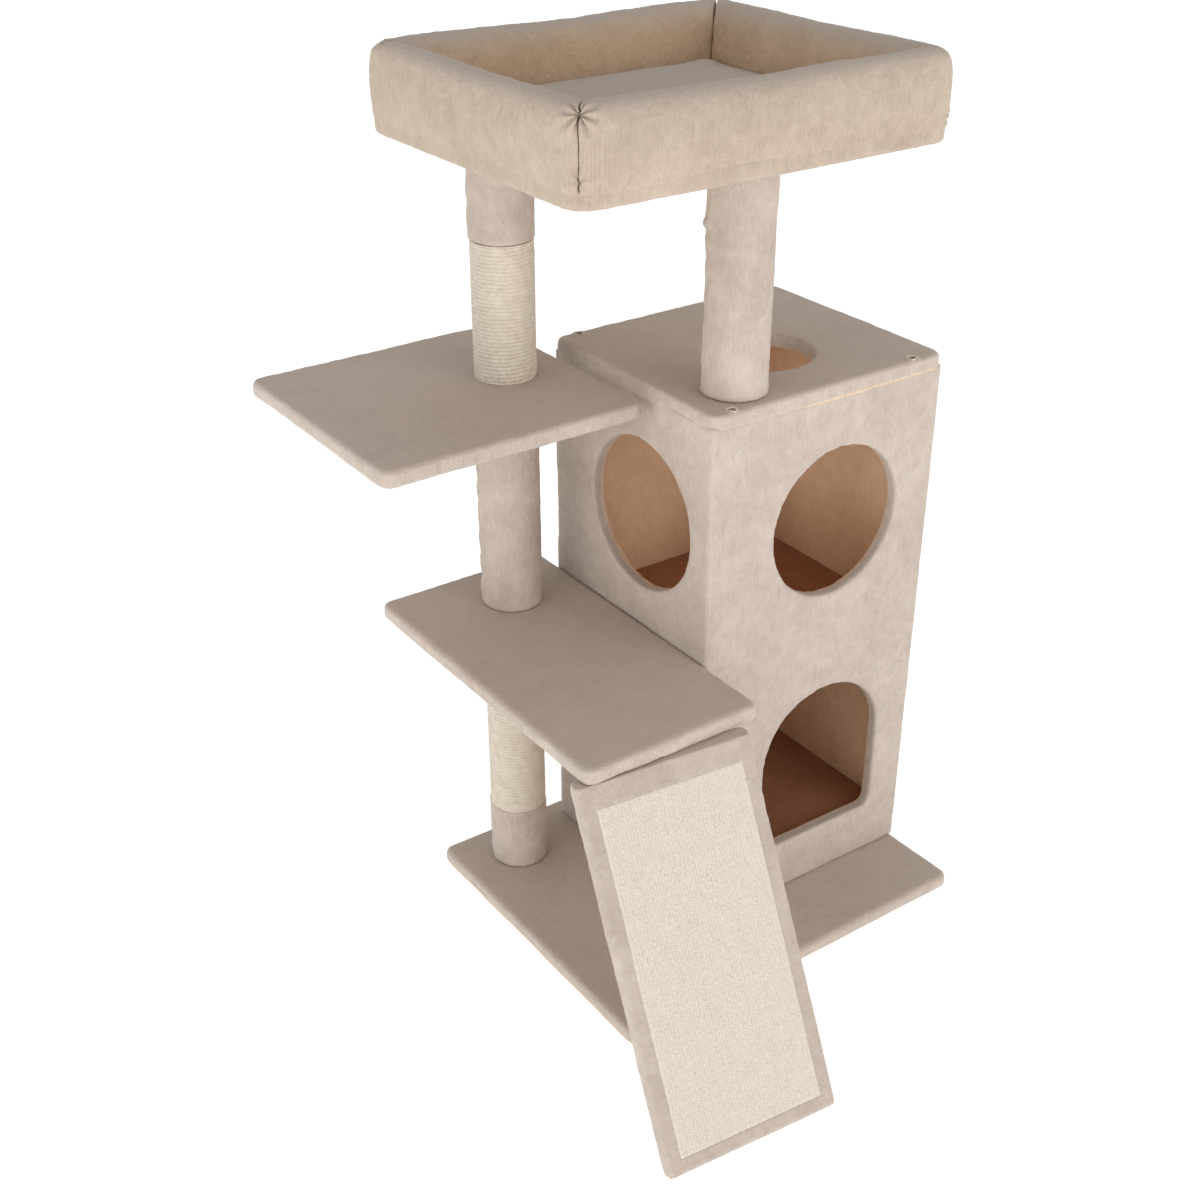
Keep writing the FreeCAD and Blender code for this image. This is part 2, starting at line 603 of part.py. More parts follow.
ROOM_WALL = "(condo_front + plush + wall_board - 1)"
SIDE_WALL = "(condo_left + plush + wall_board - 1)"
lining("upper_room_lining", "shelf_top", ROOF_UNDERSIDE,
       opening_tools("upper_lining", "plush", ROOM_WALL, WALL)[:1]
       + [side_tool("upper_lining_side", "plush", SIDE_WALL, WALL)])
lining("lower_room_lining", "room_floor_top", "shelf_top - " + WALL,
       opening_tools("lower_lining", "plush", ROOM_WALL, WALL)[1:])

# ---- posts ---------------------------------------------------------------------------------------

SPANS = {
    "lower_post": POST + (BASE_TOP, "(lower_top - %s)" % PLATFORM),
    "middle_post": POST + ("lower_top", "(upper_top - %s)" % PLATFORM),
    "upper_post": POST + ("upper_top", "bed_underside"),
    "condo_post": CONDO_POST + ("condo_roof", "bed_underside"),
}
plugs = []
inserts = []
for name, (x, y, bottom, top) in SPANS.items():
    wall = ("tube_radius - tube_wall", "tube_radius", top + " - " + bottom)
    keep(turned(name + "_tube", (x, y, bottom), wall), name + "_tube")
    for end, start in (("foot", bottom), ("head", top + " - plug_thick")):
        ring = ("insert_radius + clearance", "tube_radius - tube_wall - clearance", "plug_thick")
        plugs.append(turned("%s_%s_plug" % (name, end), (x, y, start), ring))
        inserts.append(turned("%s_%s_insert" % (name, end), (x, y, start),
                              ("thread_radius + clearance", "insert_radius", "plug_thick")))
group("post_end_plugs", plugs)
group("post_threaded_inserts", inserts)
WRAPS = {
    "lower_post_foot_cover": POST + (BASE_TOP, "lower_band_top", "post_plush"),
    "lower_post_sisal": POST + ("lower_band_top", SPANS["lower_post"][3], "rope"),
    "middle_post_cover": POST + SPANS["middle_post"][2:] + ("post_plush",),
    "upper_post_sisal": POST + ("upper_top", "upper_rope_top", "rope"),
    "upper_post_cover": POST + ("upper_rope_top", "bed_underside", "post_plush"),
    "condo_post_cover": CONDO_POST + SPANS["condo_post"][2:] + ("post_plush",),
}
for label, (x, y, bottom, top, thick) in WRAPS.items():
    keep(turned(label, (x, y, bottom),
                ("tube_radius + clearance", "tube_radius + " + thick, "%s - (%s)" % (top, bottom))), label)

# ---- bolts, washers and studs ----------------------------------------------------------------------

GRIP = "(counterbore - washer_thick)"
BOLTS = {
    "base_bolt": POST + ("plush + " + GRIP, 1),
    "bed_bolt": POST + ("%s - plush - %s" % (BED_TOP, GRIP), -1),
    "bed_condo_bolt": CONDO_POST + ("%s - plush - %s" % (BED_TOP, GRIP), -1),
    "roof_bolt": CONDO_POST + (ROOF_UNDERSIDE + " - washer_thick", 1),
}
bolts = []
washers = []
for name, (x, y, seat, way) in BOLTS.items():
    head = doc.addObject("Part::Prism", name + "_head")
    head.Polygon = 6
    bind(head, "Circumradius", "bolt_head")
    bind(head, "Height", "bolt_head_thick")
    bind(head, ".Placement.Base.z", "-bolt_head_thick")
    bolt = doc.addObject("Part::MultiFuse", name)
    bolt.Shapes = [head, rod(name + "_shank", ("0", "0", "0"), "thread_radius", "bolt_length")]
    washer = turned(name + "_washer", (x, y, seat), ("thread_radius + 0.3", "washer_radius", "washer_thick"))
    if way < 0:
        bolt.Placement.Rotation = FreeCAD.Rotation(FreeCAD.Vector(1, 0, 0), 180)
        washer.Placement.Rotation = FreeCAD.Rotation(FreeCAD.Vector(1, 0, 0), 180)
    place(bolt, (x, y, seat))
    bolts.append(bolt)
    washers.append(washer)
group("post_bolts", bolts)
group("post_bolt_washers", washers)
group("platform_studs", [
    rod(name + "_stud", POST + ("%s - %s - plug_thick" % (top, PLATFORM),), "thread_radius",
        PLATFORM + " + 2 * plug_thick")
    for name, top in (("lower", "lower_top"), ("upper", "upper_top"))
])

# ---- ramp: built flat in its own frame, then leaned against the lower platform ------------------------

UPRIGHT = FreeCAD.Vector(0, 0, 1)
TURN = FreeCAD.Rotation(UPRIGHT, -size("ramp_turn"))
LEAN = TURN * FreeCAD.Rotation(FreeCAD.Vector(1, 0, 0), 90 - size("ramp_lean"))
MAT_WIDTH = "(ramp_width - 2 * ramp_border)"
MAT_LENGTH = "(ramp_length - ramp_border - ramp_top_border)"


def lean(thing):
    """Stands a piece drawn flat (x across, y up the ramp, z out of its face) in its place."""
    thing.Placement.Rotation = LEAN
    tilt = math.radians(size("ramp_lean"))
    lift = "%s * %.12f" % (RAMP_THICK, math.sin(tilt))
    place(thing, ("ramp_left", "ramp_foot_y", lift))
    return thing


ramp_panel = doc.addObject("PartDesign::Body", "ramp_panel")
ramp_outline = sketch_on(ramp_panel, "XY_Plane", "Outline", "-plush - ramp_board")
draw_rectangle(ramp_outline, "plush", "plush", "ramp_width - 2 * plush", "ramp_length - 2 * plush")
pad(ramp_panel, ramp_outline, "ramp_board")
keep(cut("ramp_drilled_board", lean(ramp_panel), strap_screws), "ramp_board")

ramp_cover = doc.addObject("PartDesign::Body", "ramp_wrap")
wrap_outline = sketch_on(ramp_cover, "XY_Plane", "Outline", "-" + RAMP_THICK)
draw_rectangle(wrap_outline, "0", "0", "ramp_width", "ramp_length")
pad(ramp_cover, wrap_outline, RAMP_THICK)
fillet(ramp_cover, is_upright, "soft_edge")
wrap_hollow = sketch_on(ramp_cover, "XY_Plane", "Hollow", "-plush - ramp_board")
draw_rectangle(wrap_hollow, "plush", "plush", "ramp_width - 2 * plush", "ramp_length - 2 * plush")
pocket(ramp_cover, wrap_hollow, "ramp_board")
window = sketch_on(ramp_cover, "XY_Plane", "Window", "-plush")
draw_rectangle(window, "ramp_border", "ramp_border", MAT_WIDTH, MAT_LENGTH)
pocket(ramp_cover, window, "plush")
keep(cut("ramp_drilled_cover", lean(ramp_cover), strap_screws), "ramp_cover")

mat = doc.addObject("PartDesign::Body", "mat")
mat_outline = sketch_on(mat, "XY_Plane", "Outline", "-plush")
draw_rectangle(mat_outline, "ramp_border + clearance", "ramp_border + clearance",
               MAT_WIDTH + " - 2 * clearance", MAT_LENGTH + " - 2 * clearance")
pad(mat, mat_outline, "mat_thick")
keep(lean(mat), "ramp_sisal_mat")


# ---- bed: four stuffed rolls sewn at mitred corners, and a flat cushion --------------------------------


def roll_section(out, inn, low, high):
    """The rounded outline of a roll: upright inside, fuller outside, as a closed wire in x and z."""
    bulge = size("rim_bulge")
    points = [FreeCAD.Vector(out + bulge * 0.3, 0, low), FreeCAD.Vector(out - bulge, 0, (low + high) / 2),
              FreeCAD.Vector((out + inn) / 2, 0, high),
              FreeCAD.Vector(inn, 0, (low + high) / 2 + size("rim_flat"))]
    curve = Part.BSplineCurve()
    curve.interpolate(Points=points, InitialTangent=FreeCAD.Vector(-bulge * 2, 0, bulge * 3),
                      FinalTangent=FreeCAD.Vector(0, 0, -bulge * 5))
    foot = FreeCAD.Vector(inn, 0, low)
    return Part.Wire([curve.toShape(), Part.makeLine(points[-1], foot), Part.makeLine(foot, points[0])])


def rim_roll(label, side, shrink, kind):
    """One side of the rim: a prism of the roll's section, cut at 45 degrees at both ends."""
    left, front = size("bed_left"), size("bed_front")
    width, depth = size("bed_width"), size("bed_depth")
    low = number(BED_TOP)
    high = low + size("rim_tall")
    thick = size("rim_thick")
    length = width if side in ("front", "back") else depth
    reach = size("rim_bulge") + 2
    wire = roll_section(shrink, thick - shrink, low + shrink, high - shrink)
    solid = Part.Face(wire).extrude(FreeCAD.Vector(0, length + 2 * reach, 0))
    solid.translate(FreeCAD.Vector(0, -reach, 0))
    gap = size("mitre_gap") + shrink
    far = length
    for end, way in ((0.0, 1.0), (length, -1.0)):
        corner = FreeCAD.Vector(0, end + way * gap * math.sqrt(2), 0)
        wedge = Part.Face(Part.makePolygon([
            corner + FreeCAD.Vector(-far, -way * far, 0), corner + FreeCAD.Vector(far, way * far, 0),
            corner + FreeCAD.Vector(far, -way * far, 0), corner + FreeCAD.Vector(-far, -way * far, 0)]))
        wedge.translate(FreeCAD.Vector(0, 0, low - thick))
        solid = solid.cut(wedge.extrude(FreeCAD.Vector(0, 0, size("rim_tall") + 2 * thick)))
    turns = {"left": (0, left, front), "front": (90, left + width, front),
             "right": (180, left + width, front + depth), "back": (270, left, front + depth)}
    angle, x, y = turns[side]
    piece = doc.addObject("Part::Feature", label + "_" + kind)
    piece.Shape = solid
    quarter_turn = FreeCAD.Rotation(FreeCAD.Vector(0, 0, 1), angle)
    piece.Placement = FreeCAD.Placement(FreeCAD.Vector(x, y, 0), quarter_turn)
    return piece


for side in ("front", "back", "left", "right"):
    name = "bed_%s_roll" % side
    full = rim_roll(name, side, 0.0, "outside")
    core = rim_roll(name, side, size("rim_skin"), "inside")
    keep(cut(name + "_cover", full, [core]), name + "_cover")
    keep(rim_roll(name, side, size("rim_skin"), "filling"), name + "_filling")

PAD_GAP = "(rim_thick + 1)"
cushion_outer = box("cushion_outer", ("bed_left + " + PAD_GAP, "bed_front + " + PAD_GAP, BED_TOP),
                    "bed_width - 2 * " + PAD_GAP, "bed_depth - 2 * " + PAD_GAP, "cushion_thick")
foam_size = ("bed_width - 2 * %s - 2 * rim_skin" % PAD_GAP, "bed_depth - 2 * %s - 2 * rim_skin" % PAD_GAP,
             "cushion_thick - 2 * rim_skin")
foam_place = ("bed_left + %s + rim_skin" % PAD_GAP, "bed_front + %s + rim_skin" % PAD_GAP,
              BED_TOP + " + rim_skin")
cushion_inner = box("cushion_inner", foam_place, *foam_size)
keep(cut("bed_cushion_cover", cushion_outer, [cushion_inner]), "bed_cushion_cover")
keep(box("bed_cushion_foam", foam_place, *foam_size), "bed_cushion_foam")

# ---- check and write -------------------------------------------------------------------------------------

doc.recompute()
for thing in doc.Objects:
    if "Invalid" in thing.State or "Error" in thing.State:
        raise RuntimeError("%s is %s" % (thing.Label, thing.State))
for part in PARTS:
    if part.Shape.isNull() or not part.Shape.isValid() or not part.Shape.Solids:
        raise RuntimeError("%s has no valid solid" % part.Label)
os.makedirs("parts", exist_ok=True)
for part in PARTS:
    part.Shape.exportStep("parts/%s.step" % part.Label)
    print("%-24s %2d solid(s) %9.0f mm3" % (part.Label, len(part.Shape.Solids), part.Shape.Volume))
print(len(PARTS), "sub-parts")
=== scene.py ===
"""The looks of the cat tree: plush over boards, posts wound with sisal, a woven ramp mat and a stuffed bed.

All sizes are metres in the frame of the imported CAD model. Every place comes from a CAD node's box or from
an opening in the record; the named values below are what the cloth, rope and pile add to it.
"""

import itertools
import json
import math

import bmesh
import bpy
import numpy as np
from mathutils import Matrix, Vector


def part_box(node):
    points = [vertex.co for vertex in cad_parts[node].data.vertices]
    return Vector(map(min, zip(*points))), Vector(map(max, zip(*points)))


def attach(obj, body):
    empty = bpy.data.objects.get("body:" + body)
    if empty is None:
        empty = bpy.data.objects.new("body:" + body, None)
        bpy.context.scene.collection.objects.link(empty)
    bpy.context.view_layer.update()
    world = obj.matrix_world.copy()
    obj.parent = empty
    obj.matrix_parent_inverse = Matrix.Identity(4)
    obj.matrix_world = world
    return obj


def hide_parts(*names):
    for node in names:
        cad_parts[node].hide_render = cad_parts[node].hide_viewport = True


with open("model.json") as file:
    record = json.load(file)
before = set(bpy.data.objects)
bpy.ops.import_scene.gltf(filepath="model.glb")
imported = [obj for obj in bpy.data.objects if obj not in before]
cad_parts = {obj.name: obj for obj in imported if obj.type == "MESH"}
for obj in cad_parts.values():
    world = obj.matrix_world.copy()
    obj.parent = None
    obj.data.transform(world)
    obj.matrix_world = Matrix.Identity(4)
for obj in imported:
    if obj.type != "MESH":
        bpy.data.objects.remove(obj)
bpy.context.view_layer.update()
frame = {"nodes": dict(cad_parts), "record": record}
scene = bpy.context.scene

MM = 0.001

# Plush over boards
PLUSH_THICKNESS = 2.5 * MM
BOARD_EDGE = 6 * MM            # how round the covered edges of a board are
BOARD_CORNER = 12 * MM         # how round its corners are, seen from above
HEM_WIDTH = 40 * MM            # the plush turned under a board
HEM_DEPTH = 4 * MM
WALL_THICKNESS = 17 * MM
WINDOW_RADIUS = 91 * MM
ROOF_HOLE_RADIUS = 65 * MM
ROOF_LAP = 3.5 * MM            # how far the plush of the roof and of the walls run into each other
DOOR_HALF_WIDTH = 91 * MM
DOOR_BOTTOM = 90 * MM
DOOR_TOP = 300 * MM
ROUND_STEPS = 128              # sides of a round opening

# Posts
ROPE_PITCH = 4.4 * MM          # height that one turn of rope takes
ROPE_RELIEF = 1.3 * MM
TUBE_RADIUS = 31 * MM

# Ramp
RAMP_WIDTH = 212 * MM
RAMP_LEAN = math.radians(62)   # angle of the ramp above the floor
RAMP_TURN = math.radians(5.5)  # how far it is turned, clockwise from above
RAMP_THICKNESS = 17 * MM
RAMP_BORDER = 18 * MM          # plush beside the mat
RAMP_TOP_BORDER = 25 * MM
RAMP_TUCK = 9 * MM             # plush of the ramp's end that is pressed against the platform
MAT_THREAD = 3.7 * MM          # pitch of the mat's weave across the ramp
MAT_PICK = 0.8 * MAT_THREAD    # and up the ramp

# Bed
ROLL_WIDTH = 46 * MM           # where a roll stands on the board
ROLL_BULGE = 2.5 * MM          # how far its outer face stands past the board before it is stuffed
ROLL_SWELL = 3.5 * MM            # how far stuffing may move its cloth
ROLL_FOOT = 8 * MM             # how far its cloth goes down behind the board's plush
ROLL_POINTS = 52               # points round a roll
SEAM_DEPTH = 1.1 * MM          # how far a seam is drawn in on the outer side
SEAM_INNER_DEPTH = 2.4 * MM    # and on the inner side
BED_CORNERS = (12 * MM, 12 * MM, 27 * MM, 12 * MM)  # back right, back left, front left, front right

# Unevenness of each kind of surface: layers of noise, each (how wide its lumps are, how high)
BOARD_NAP = ((70 * MM, 0.7 * MM), (16 * MM, 0.35 * MM), (5 * MM, 0.3 * MM))
WALL_NAP = ((90 * MM, 0.9 * MM), (18 * MM, 0.4 * MM), (5.5 * MM, 0.3 * MM))
ROOF_NAP = ((80 * MM, 0.7 * MM), (16 * MM, 0.35 * MM), (5 * MM, 0.25 * MM))
POST_NAP = ((45 * MM, 0.7 * MM), (14 * MM, 0.4 * MM), (4 * MM, 0.35 * MM))
RAMP_NAP = ((60 * MM, 0.5 * MM), (14 * MM, 0.35 * MM), (4.5 * MM, 0.3 * MM))
ROLL_NAP = ((60 * MM, 1.0 * MM), (17 * MM, 0.5 * MM), (5 * MM, 0.3 * MM), (2.5 * MM, 0.18 * MM))
CUSHION_NAP = ((80 * MM, 1.2 * MM), (20 * MM, 0.5 * MM), (5 * MM, 0.3 * MM))

# Screw eyes in the roof
SCREW_HEAD = 3.8 * MM          # radius of a screw's head
PIT_DEPTH = 3.4 * MM           # how far the plush is pressed in over it
PIT_RADIUS = 6.0 * MM
EYELET_RADIUS = 5.4 * MM       # radius of the ring of pinched pile
EYELET_THICKNESS = 1.15 * MM

# Studio
WORLD_STRENGTH = 0.66
FLOOR_GLOW = 0.50
FLOOR_REACH = 30.0             # half the width of the floor
KEY_PLACE = (0.9, -3.3, 1.5)
FILL_PLACE = (-3.2, -0.6, 0.8)
CAMERA_PLACE = (-1.0671, -1.3027, 1.3468)
CAMERA_DIRECTION = (0.50306, 0.71252, -0.48912)
CAMERA_LENS = 49.11            # focal length in millimetres
CAMERA_SENSOR = 36             # width of its sensor in millimetres


# ---------------------------------------------------------------- mesh helpers

def lattice(cells):
    """A repeatable value from -1 to 1 for each whole-number point."""
    key = (cells[:, 0] * 73856093) ^ (cells[:, 1] * 19349663) ^ (cells[:, 2] * 83492791)
    key = (key ^ (key >> 13)) * 1274126177
    return ((key >> 7) & 0xFFFF) / 32767.5 - 1


def lumps(points, cell, seed=0):
    """Smooth noise from -1 to 1 at each point, with lumps about `cell` across."""
    at = np.asarray(points, float) / cell + 13.7 * (seed + 1)
    low = np.floor(at).astype(np.int64)
    part = at - low
    part = part * part * (3 - 2 * part)
    total = np.zeros(len(at))
    for corner in itertools.product((0, 1), repeat=3):
        share = np.where(np.array(corner), part, 1 - part).prod(axis=1)
        total += share * lattice(low + np.array(corner))
    return total


def new_piece(name, points, faces):
    """A mesh object in the scene."""
    mesh = bpy.data.meshes.new(name)
    mesh.from_pydata([tuple(p) for p in points], [], faces)
    mesh.update()
    piece = bpy.data.objects.new(name, mesh)
    scene.collection.objects.link(piece)
    return piece


def points_of(piece):
    """The piece's points as an array."""
    points = np.empty(len(piece.data.vertices) * 3)
    piece.data.vertices.foreach_get("co", points)
    return points.reshape(-1, 3)


def normals_of(piece):
    """The normal at each of the piece's points."""
    normals = np.empty(len(piece.data.vertices) * 3, np.float32)
    piece.data.vertex_normals.foreach_get("vector", normals)
    return normals.reshape(-1, 3).astype(float)


def move_points(piece, points):
    """Puts the piece's points where the array says."""
    piece.data.vertices.foreach_set("co", np.asarray(points, float).ravel())
    piece.data.update()


def apply_modifiers(piece):
    """Replaces the piece's mesh with the one its modifiers give."""
    shown = piece.evaluated_get(bpy.context.evaluated_depsgraph_get())
    mesh = bpy.data.meshes.new_from_object(shown)
    old = piece.data
    piece.modifiers.clear()
    piece.data = mesh
    bpy.data.meshes.remove(old)
    mesh.name = piece.name


def loft(name, rings):
    """A closed mesh through rings of equal length, with both ends capped."""
    count = len(rings[0])
    points = [p for ring in rings for p in ring]
    faces = []
    for a in range(len(rings) - 1):
        for i in range(count):
            j = (i + 1) % count
            faces.append([a * count + i, a * count + j, (a + 1) * count + j, (a + 1) * count + i])
    last = (len(rings) - 1) * count
    faces.append(list(range(count))[::-1])
    faces.append([last + i for i in range(count)])
    return new_piece(name, points, faces)


def round_outline(lo, hi, corners, inset, steps=8):
    """Points round a rectangle drawn in by `inset`, anticlockwise from its right side. corners: one radius
    for each corner, back right, back left, front left, front right."""
    points = []
    for k, (right, back) in enumerate(((1, 1), (0, 1), (0, 0), (1, 0))):
        radius = max(corners[k] - inset, 0.5 * MM)
        middle_x = hi[0] - inset - radius if right else lo[0] + inset + radius
        middle_y = hi[1] - inset - radius if back else lo[1] + inset + radius
        for i in range(steps + 1):
            angle = math.pi / 2 * (k + i / steps)
            points.append((middle_x + radius * math.cos(angle), middle_y + radius * math.sin(angle)))
    return points


def soft_block(name, lo, hi, corner=BOARD_CORNER, edge=BOARD_EDGE, steps=5):
    """A block with round corners, given as one radius or four, and round edges, as one or (bottom, top)."""
    corners = corner if isinstance(corner, (list, tuple)) else [corner] * 4
    edges = edge if isinstance(edge, (list, tuple)) else (edge, edge)
    rings = []
    for top in (False, True):
        for i in range(steps + 1):
            turn = math.pi / 2 * (i / steps if not top else 1 - i / steps)
            inset = edges[top] * (1 - math.sin(turn))
            rise = edges[top] * (1 - math.cos(turn))
            z = hi[2] - rise if top else lo[2] + rise
            rings.append([(x, y, z) for x, y in round_outline(lo, hi, corners, inset)])
    return loft(name, rings)


def plain_box(name, lo, hi):
    """A sharp box, used as a cutting tool."""
    corners = [(lo, lo), (hi, lo), (hi, hi), (lo, hi)]
    return loft(name, [[(a[0], b[1], z) for a, b in corners] for z in (lo[2], hi[2])])


def face_outwards(piece):
    """Turns every face of a closed mesh outwards."""
    mesh = bmesh.new()
    mesh.from_mesh(piece.data)
    bmesh.ops.recalc_face_normals(mesh, faces=mesh.faces)
    mesh.to_mesh(piece.data)
    mesh.free()


def prism(name, outline, axis, start, end):
    """A tool: an outline in the plane across `axis` (0 for x, 1 for y, 2 for z), pushed from start to end."""
    rings = []
    for at in (start, end):
        ring = []
        for a, b in outline:
            point = [a, b]
            point.insert(axis, at)
            ring.append(tuple(point))
        rings.append(ring)
    piece = loft(name, rings)
    face_outwards(piece)
    return piece


def disc_outline(centre, radius, steps=ROUND_STEPS):
    """Points round a circle."""
    return [(centre[0] + radius * math.cos(2 * math.pi * i / steps),
             centre[1] + radius * math.sin(2 * math.pi * i / steps)) for i in range(steps)]


def cut(piece, tool):
    """Takes the tool's shape out of the piece."""
    step = piece.modifiers.new("cut", "BOOLEAN")
    step.operation = "DIFFERENCE"
    step.solver = "EXACT"
    step.object = tool
    apply_modifiers(piece)
    bpy.data.objects.remove(tool)


def remesh(piece, voxel, passes):
    """Gives the piece an even mesh and softens its edges."""
    step = piece.modifiers.new("remesh", "REMESH")
    step.mode = "VOXEL"
    step.voxel_size = voxel
    apply_modifiers(piece)
    if passes:
        step = piece.modifiers.new("soften", "SMOOTH")
        step.factor = 0.5
        step.iterations = passes
        apply_modifiers(piece)


def ruffle(piece, layers, seed):
    """Moves each point along its normal by layers of noise, each (cell, height)."""
    points = points_of(piece)
    shift = np.zeros(len(points))
    for k, (cell, height) in enumerate(layers):
        shift += height * lumps(points, cell, seed * 10 + k)
    move_points(piece, points + normals_of(piece) * shift[:, None])


def paint(piece, name, values):
    """Keeps one number for each point, which the piece's material reads."""
    layer = piece.data.attributes.new(name, "FLOAT", "POINT")
    layer.data.foreach_set("value", np.asarray(values, np.float32))


def finish_piece(piece, slot, look, *stands_for):
    """The last steps of every piece: its material, its body and the CAD nodes it stands for, which it hides.
    The slot argument is not used.
    """
    piece.data.materials.clear()
    piece.data.materials.append(look)
    piece.data.shade_smooth()
    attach(piece, "root")
    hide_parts(*stands_for)
    return piece


# ---------------------------------------------------------------- materials

class Look:
    """A Principled material and the few nodes every finish here is made of."""

    def __init__(self, name, roughness, metallic=0.0, sheen=0.0, sheen_tint=(1, 1, 1)):
        self.material = bpy.data.materials.new(name)
        self.material.use_nodes = True
        self.tree = self.material.node_tree
        self.shader = self.tree.nodes["Principled BSDF"]
        self.shader.inputs["Roughness"].default_value = roughness
        self.shader.inputs["Metallic"].default_value = metallic
        self.shader.inputs["Sheen Weight"].default_value = sheen
        self.shader.inputs["Sheen Roughness"].default_value = 0.45
        self.shader.inputs["Sheen Tint"].default_value = (*sheen_tint, 1)
        self.shader.inputs["Specular IOR Level"].default_value = 0.2 if metallic == 0 else 0.5
        self.where = self.node("ShaderNodeTexCoord").outputs["Object"]

    def node(self, kind, **settings):
        made = self.tree.nodes.new(kind)
        for key, value in settings.items():
            setattr(made, key, value)
        return made

    def join(self, source, target):
        if isinstance(source, bpy.types.NodeSocket):
            self.tree.links.new(source, target)
        else:
            target.default_value = source

    def noise(self, cell, detail=2.0, stretch=(1, 1, 1), turn=0.0, distortion=0.0):
        """Noise with lumps about `cell` across, longer along an axis by its stretch."""
        place = self.node("ShaderNodeMapping")
        place.inputs["Scale"].default_value = [1 / (cell * s) for s in stretch]
        place.inputs["Rotation"].default_value[0] = turn
        self.join(self.where, place.inputs["Vector"])
        made = self.node("ShaderNodeTexNoise")
        made.inputs["Scale"].default_value = 1.0
        made.inputs["Detail"].default_value = detail
        made.inputs["Distortion"].default_value = distortion
        self.join(place.outputs["Vector"], made.inputs["Vector"])
        return made.outputs["Fac"]

    def math(self, kind, a, b=0.0):
        made = self.node("ShaderNodeMath", operation=kind)
        self.join(a, made.inputs[0])
        self.join(b, made.inputs[1])
        return made.outputs[0]

    def spread(self, value, low, high, to_low=0.0, to_high=1.0):
        """Stretches a value's range from low..high to to_low..to_high, and clamps it there."""
        made = self.node("ShaderNodeMapRange")
        self.join(value, made.inputs["Value"])
        made.inputs["From Min"].default_value = low
        made.inputs["From Max"].default_value = high
        made.inputs["To Min"].default_value = to_low
        made.inputs["To Max"].default_value = to_high
        return made.outputs["Result"]

    def blend(self, share, first, second):
        made = self.node("ShaderNodeMix", data_type="RGBA")
        self.join(share, made.inputs[0])
        for source, target in ((first, made.inputs[6]), (second, made.inputs[7])):
            if not isinstance(source, bpy.types.NodeSocket):
                source = (*source, 1)
            self.join(source, target)
        return made.outputs[2]

    def bump(self, height, distance, strength=1.0, under=None):
        made = self.node("ShaderNodeBump")
        made.inputs["Distance"].default_value = distance
        made.inputs["Strength"].default_value = strength
        self.join(height, made.inputs["Height"])
        if under is not None:
            self.join(under, made.inputs["Normal"])
        return made.outputs["Normal"]

    def finish(self, colour, normal):
        self.join(colour, self.shader.inputs["Base Color"])
        self.join(normal, self.shader.inputs["Normal"])
        return self.material


ROOM_BROWN = ((0.72, 0.49, 0.315), (0.92, 0.665, 0.455))


def plush_look(name, deep, pale, top_shade, inner=ROOM_BROWN, streak=(1, 1, 1), streak_depth=0.25,
               top_shade_share=0.55):
    """Short pile: blotches where the nap lies differently, fine tufts, a painted highlight on round edges,
    painted shade on what faces up, and a browner tone (inner) where the attribute "inside" says so."""
    look = Look(name, roughness=0.95, sheen=0.2, sheen_tint=(1.0, 0.94, 0.86))
    blotches = look.noise(70 * MM, detail=3, distortion=0.6)
    patches = look.noise(16 * MM, detail=3, distortion=0.8)
    tufts = look.noise(1.5 * MM, detail=2)
    lines = look.noise(2.4 * MM, detail=1, stretch=streak)
    share = look.math("ADD", look.spread(blotches, 0.3, 0.7, 0, 0.36),
                      look.spread(patches, 0.3, 0.7, 0, 0.3))
    share = look.math("ADD", share, look.spread(tufts, 0.3, 0.7, 0, 0.26))
    share = look.math("ADD", share, look.spread(lines, 0.3, 0.7, 0, streak_depth))
    share = look.math("SUBTRACT", share, 0.08)
    colour = look.blend(share, deep, pale)
    geometry = look.node("ShaderNodeNewGeometry")
    facing = look.node("ShaderNodeSeparateXYZ")
    look.join(geometry.outputs["Normal"], facing.inputs[0])
    # painted shade: what faces up is made darker and greyer, in blotches
    up = look.spread(facing.outputs["Z"], 0.3, 0.95, 0, top_shade_share)
    up = look.math("MULTIPLY", up, look.spread(blotches, 0.25, 0.7, 0.65, 1.0))
    up = look.math("MULTIPLY", up, look.spread(patches, 0.3, 0.65, 0.6, 1.0))
    colour = look.blend(up, colour, top_shade)
    # painted highlight: paler where the surface is convex, on round edges and pile tips
    edge_highlight = look.spread(geometry.outputs["Pointiness"], 0.52, 0.60, 0, 0.45)
    colour = look.blend(edge_highlight, colour, tuple(min(1.0, 1.12 * c) for c in pale))
    inside = look.node("ShaderNodeAttribute", attribute_name="inside")
    brown = look.blend(share, *inner)
    colour = look.blend(inside.outputs["Fac"], colour, brown)
    normal = look.bump(patches, 2.0 * MM, 0.35)
    normal = look.bump(look.noise(5 * MM, detail=3), 0.9 * MM, 0.5, normal)
    normal = look.bump(lines, 0.5 * MM, 0.5, normal)
    normal = look.bump(tufts, 0.5 * MM, 0.7, normal)
    return look.finish(colour, normal)


